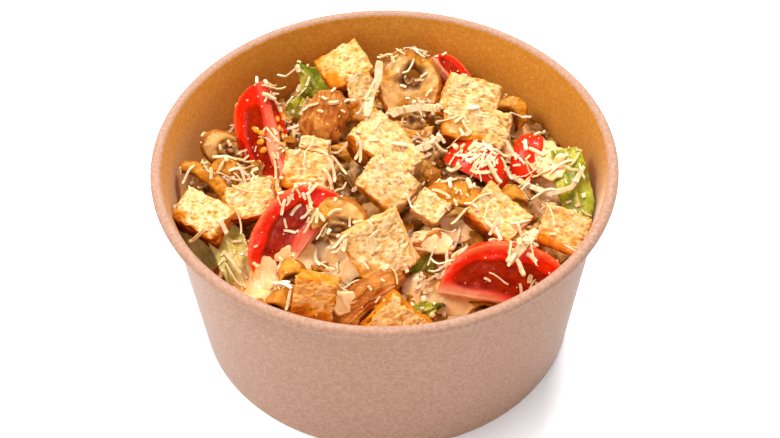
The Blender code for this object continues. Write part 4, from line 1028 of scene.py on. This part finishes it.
def grated_cheese(tree, kinds):
    bm = bmesh.new()
    tone = masks(bm, "tone")[0]
    draw = random.Random(21)
    chance = {"toasted_bread": 0.05, "tomato_flesh": 0.3, "fried_mushroom": 0.25, "browned_chicken": 0.2,
              "lettuce": 0.12, "creamy_dressing": 0.4, "coated_mix": 0.8}
    for index in range(SHRED_COUNT):
        x, y = sunflower(index, SHRED_COUNT, SHRED_SPREAD)
        length = 1.3 + 8.0 * draw.random() ** 3.0
        try_shred(bm, tone, tree, kinds, draw, x, y, length, chance)
    for x, y, radius, many, scale in DRIFTS:
        middle = seen(tree, x, y)[0]
        if middle is None:
            continue
        for _ in range(many):
            angle = draw.uniform(0.0, math.tau)
            reach = radius * math.sqrt(draw.random())
            length = 1.4 + 6.5 * draw.random() ** 2.2
            px = middle.x / MM + reach * math.cos(angle)
            py = middle.y / MM + reach * math.sin(angle)
            try_shred(bm, tone, tree, kinds, draw, px, py, length * scale, {"toasted_bread": 0.3}, scale)
    return piece_from(bm, "grated_cheese", CHEESE, smooth=False)


def crumbs(tree):
    """Bread and cheese crumbs strewn over everything."""
    bm = bmesh.new()
    tone = masks(bm, "tone")[0]
    draw = random.Random(33)
    for index in range(CRUMB_COUNT):
        hit = drop(tree, *sunflower(index, CRUMB_COUNT, CRUMB_SPREAD, 1.0))
        if hit[0] is None or draw.random() < 0.35 or hit[0].z > CRUMB_TOP:
            continue
        size = 0.18 + 0.45 * draw.random() ** 2
        grain = bmesh.ops.create_icosphere(bm, subdivisions=1, radius=size * MM)["verts"]
        for vert in grain:
            vert.co *= draw.uniform(0.7, 1.3)
        shade = draw.uniform(0.0, 0.8)
        turn = Matrix.Rotation(draw.uniform(0, math.tau), 4, Vector((draw.random(), draw.random(), 1.0)))
        squash = Matrix.Diagonal((1.0, draw.uniform(0.5, 0.9), draw.uniform(0.4, 0.8), 1.0))
        bmesh.ops.transform(bm, matrix=Matrix.Translation(hit[0]) @ turn @ squash, verts=grain)
        for vert in grain:
            vert[tone] = shade
    return piece_from(bm, "fine_crumbs", CHEESE, smooth=False)


def brown_bits():
    """Small fried bits and dark scraps that fill the gaps, where the core has its own."""
    bm = bmesh.new()
    rim, gill, pale = masks(bm, "rim", "gill", "pale")
    draw = random.Random(5)
    for index in range(BIT_COUNT):
        x, y = sunflower(index, BIT_COUNT, BIT_SPREAD)
        size = draw.uniform(1.8, 5.5)
        bit = bmesh.ops.create_icosphere(bm, subdivisions=3, radius=0.5)["verts"]
        dark = draw.uniform(0.0, 0.8)
        for vert in bit:
            at = vert.co * size
            vert[rim] = 0.25 * draw.random() + dark * 0.6
            vert[gill] = dark * 0.6 * ease(-0.2, 0.4, noise.noise(at * 0.7 + Vector((index, 0, 0))))
            vert[pale] = 0.0
            lump = 1.0 + 0.9 * noise.noise(at * 0.6 + Vector((index * 2.0, 0, 0)))
            lump += 0.5 * noise.noise(at * 1.7 + Vector((index * 2.0, 5, 0)))
            vert.co = Vector((at.x * 1.7, at.y, at.z * 0.45)) * lump * MM
        place = Vector((x, y, core_height(x, y) + size * 0.1)) * MM
        angles = (draw.uniform(0, 40), draw.uniform(-180, 180), draw.uniform(0, 180))
        bmesh.ops.transform(bm, matrix=stance(place, *angles), verts=bit)
    keep_in_bowl(bm)
    return piece_from(bm, "brown_bits", MUSHROOM)


paper_bowl()
solid = [salad_base(), brown_bits()]
for make, rows, first in ((crouton, CROUTONS, 1), (tomato_wedge, TOMATOES, 1), (mushroom_slice, MUSHROOMS, 1),
                          (chicken_piece, CHICKEN, 1), (leaf, LEAVES, 0)):
    for number, row in enumerate(rows, first):
        solid.append(make(*row, number))
tree = surface_below(solid)[0]
sauce = bmesh.new()
for number, patch in enumerate(DRESSING):
    dressing_patch(number, patch, tree, sauce)
solid.append(piece_from(sauce, "dressing_pools", DRESSING_SAUCE))
for number, node in enumerate(LONG_SHREDS):
    solid.append(long_shred(node, number))
tree, kinds = surface_below(solid)
grated_cheese(tree, kinds)
crumbs(tree)


def stage_and_light():
    bm = bmesh.new()
    bmesh.ops.create_grid(bm, x_segments=2, y_segments=2, size=3.0)
    mesh = bpy.data.meshes.new("floor")
    bm.to_mesh(mesh)
    bm.free()
    mesh.materials.append(floor_finish())
    floor = bpy.data.objects.new("floor", mesh)
    bpy.context.scene.collection.objects.link(floor)
    world = bpy.data.worlds.new("soft_sky")
    world.use_nodes = True
    sky = world.node_tree.nodes["Background"]
    sky.inputs["Color"].default_value = (1.0, 1.0, 1.0, 1.0)
    sky.inputs["Strength"].default_value = SKY_STRENGTH
    bpy.context.scene.world = world
    # The default view, AgX, pales the reds and oranges of real food
    bpy.context.scene.view_settings.view_transform = "Standard"
    for name, place, size, power in LAMPS:
        lamp = bpy.data.lights.new(name, "AREA")
        lamp.size = size
        lamp.energy = power
        item = bpy.data.objects.new(name, lamp)
        item.location = place
        item.rotation_mode = "QUATERNION"
        item.rotation_quaternion = (LAMP_AIM - Vector(place)).to_track_quat("-Z", "Y")
        bpy.context.scene.collection.objects.link(item)


def photo_camera():
    """Camera 503 mm from the salad, looking down at 46 degrees."""
    lens = bpy.data.cameras.new("camera")
    lens.sensor_width = SENSOR_WIDTH
    lens.lens = FOCAL_LENGTH * SENSOR_WIDTH / PICTURE_WIDTH
    lens.clip_start = 0.01
    eye = bpy.data.objects.new("camera", lens)
    down = math.radians(CAMERA_DOWN)
    back = Vector((0.0, -math.cos(down), math.sin(down)))
    right = Vector((1.0, 0.0, 0.0))
    up = right.cross(-back)
    roll = math.radians(CAMERA_ROLL)
    across = right * math.cos(roll) + up * math.sin(roll)
    over = -right * math.sin(roll) + up * math.cos(roll)
    place = (CAMERA_AIM + back * CAMERA_AWAY) * MM
    eye.matrix_world = Matrix(((across.x, over.x, back.x, place.x), (across.y, over.y, back.y, place.y),
                               (across.z, over.z, back.z, place.z), (0, 0, 0, 1)))
    bpy.context.scene.collection.objects.link(eye)
    bpy.context.scene.camera = eye


stage_and_light()
photo_camera()
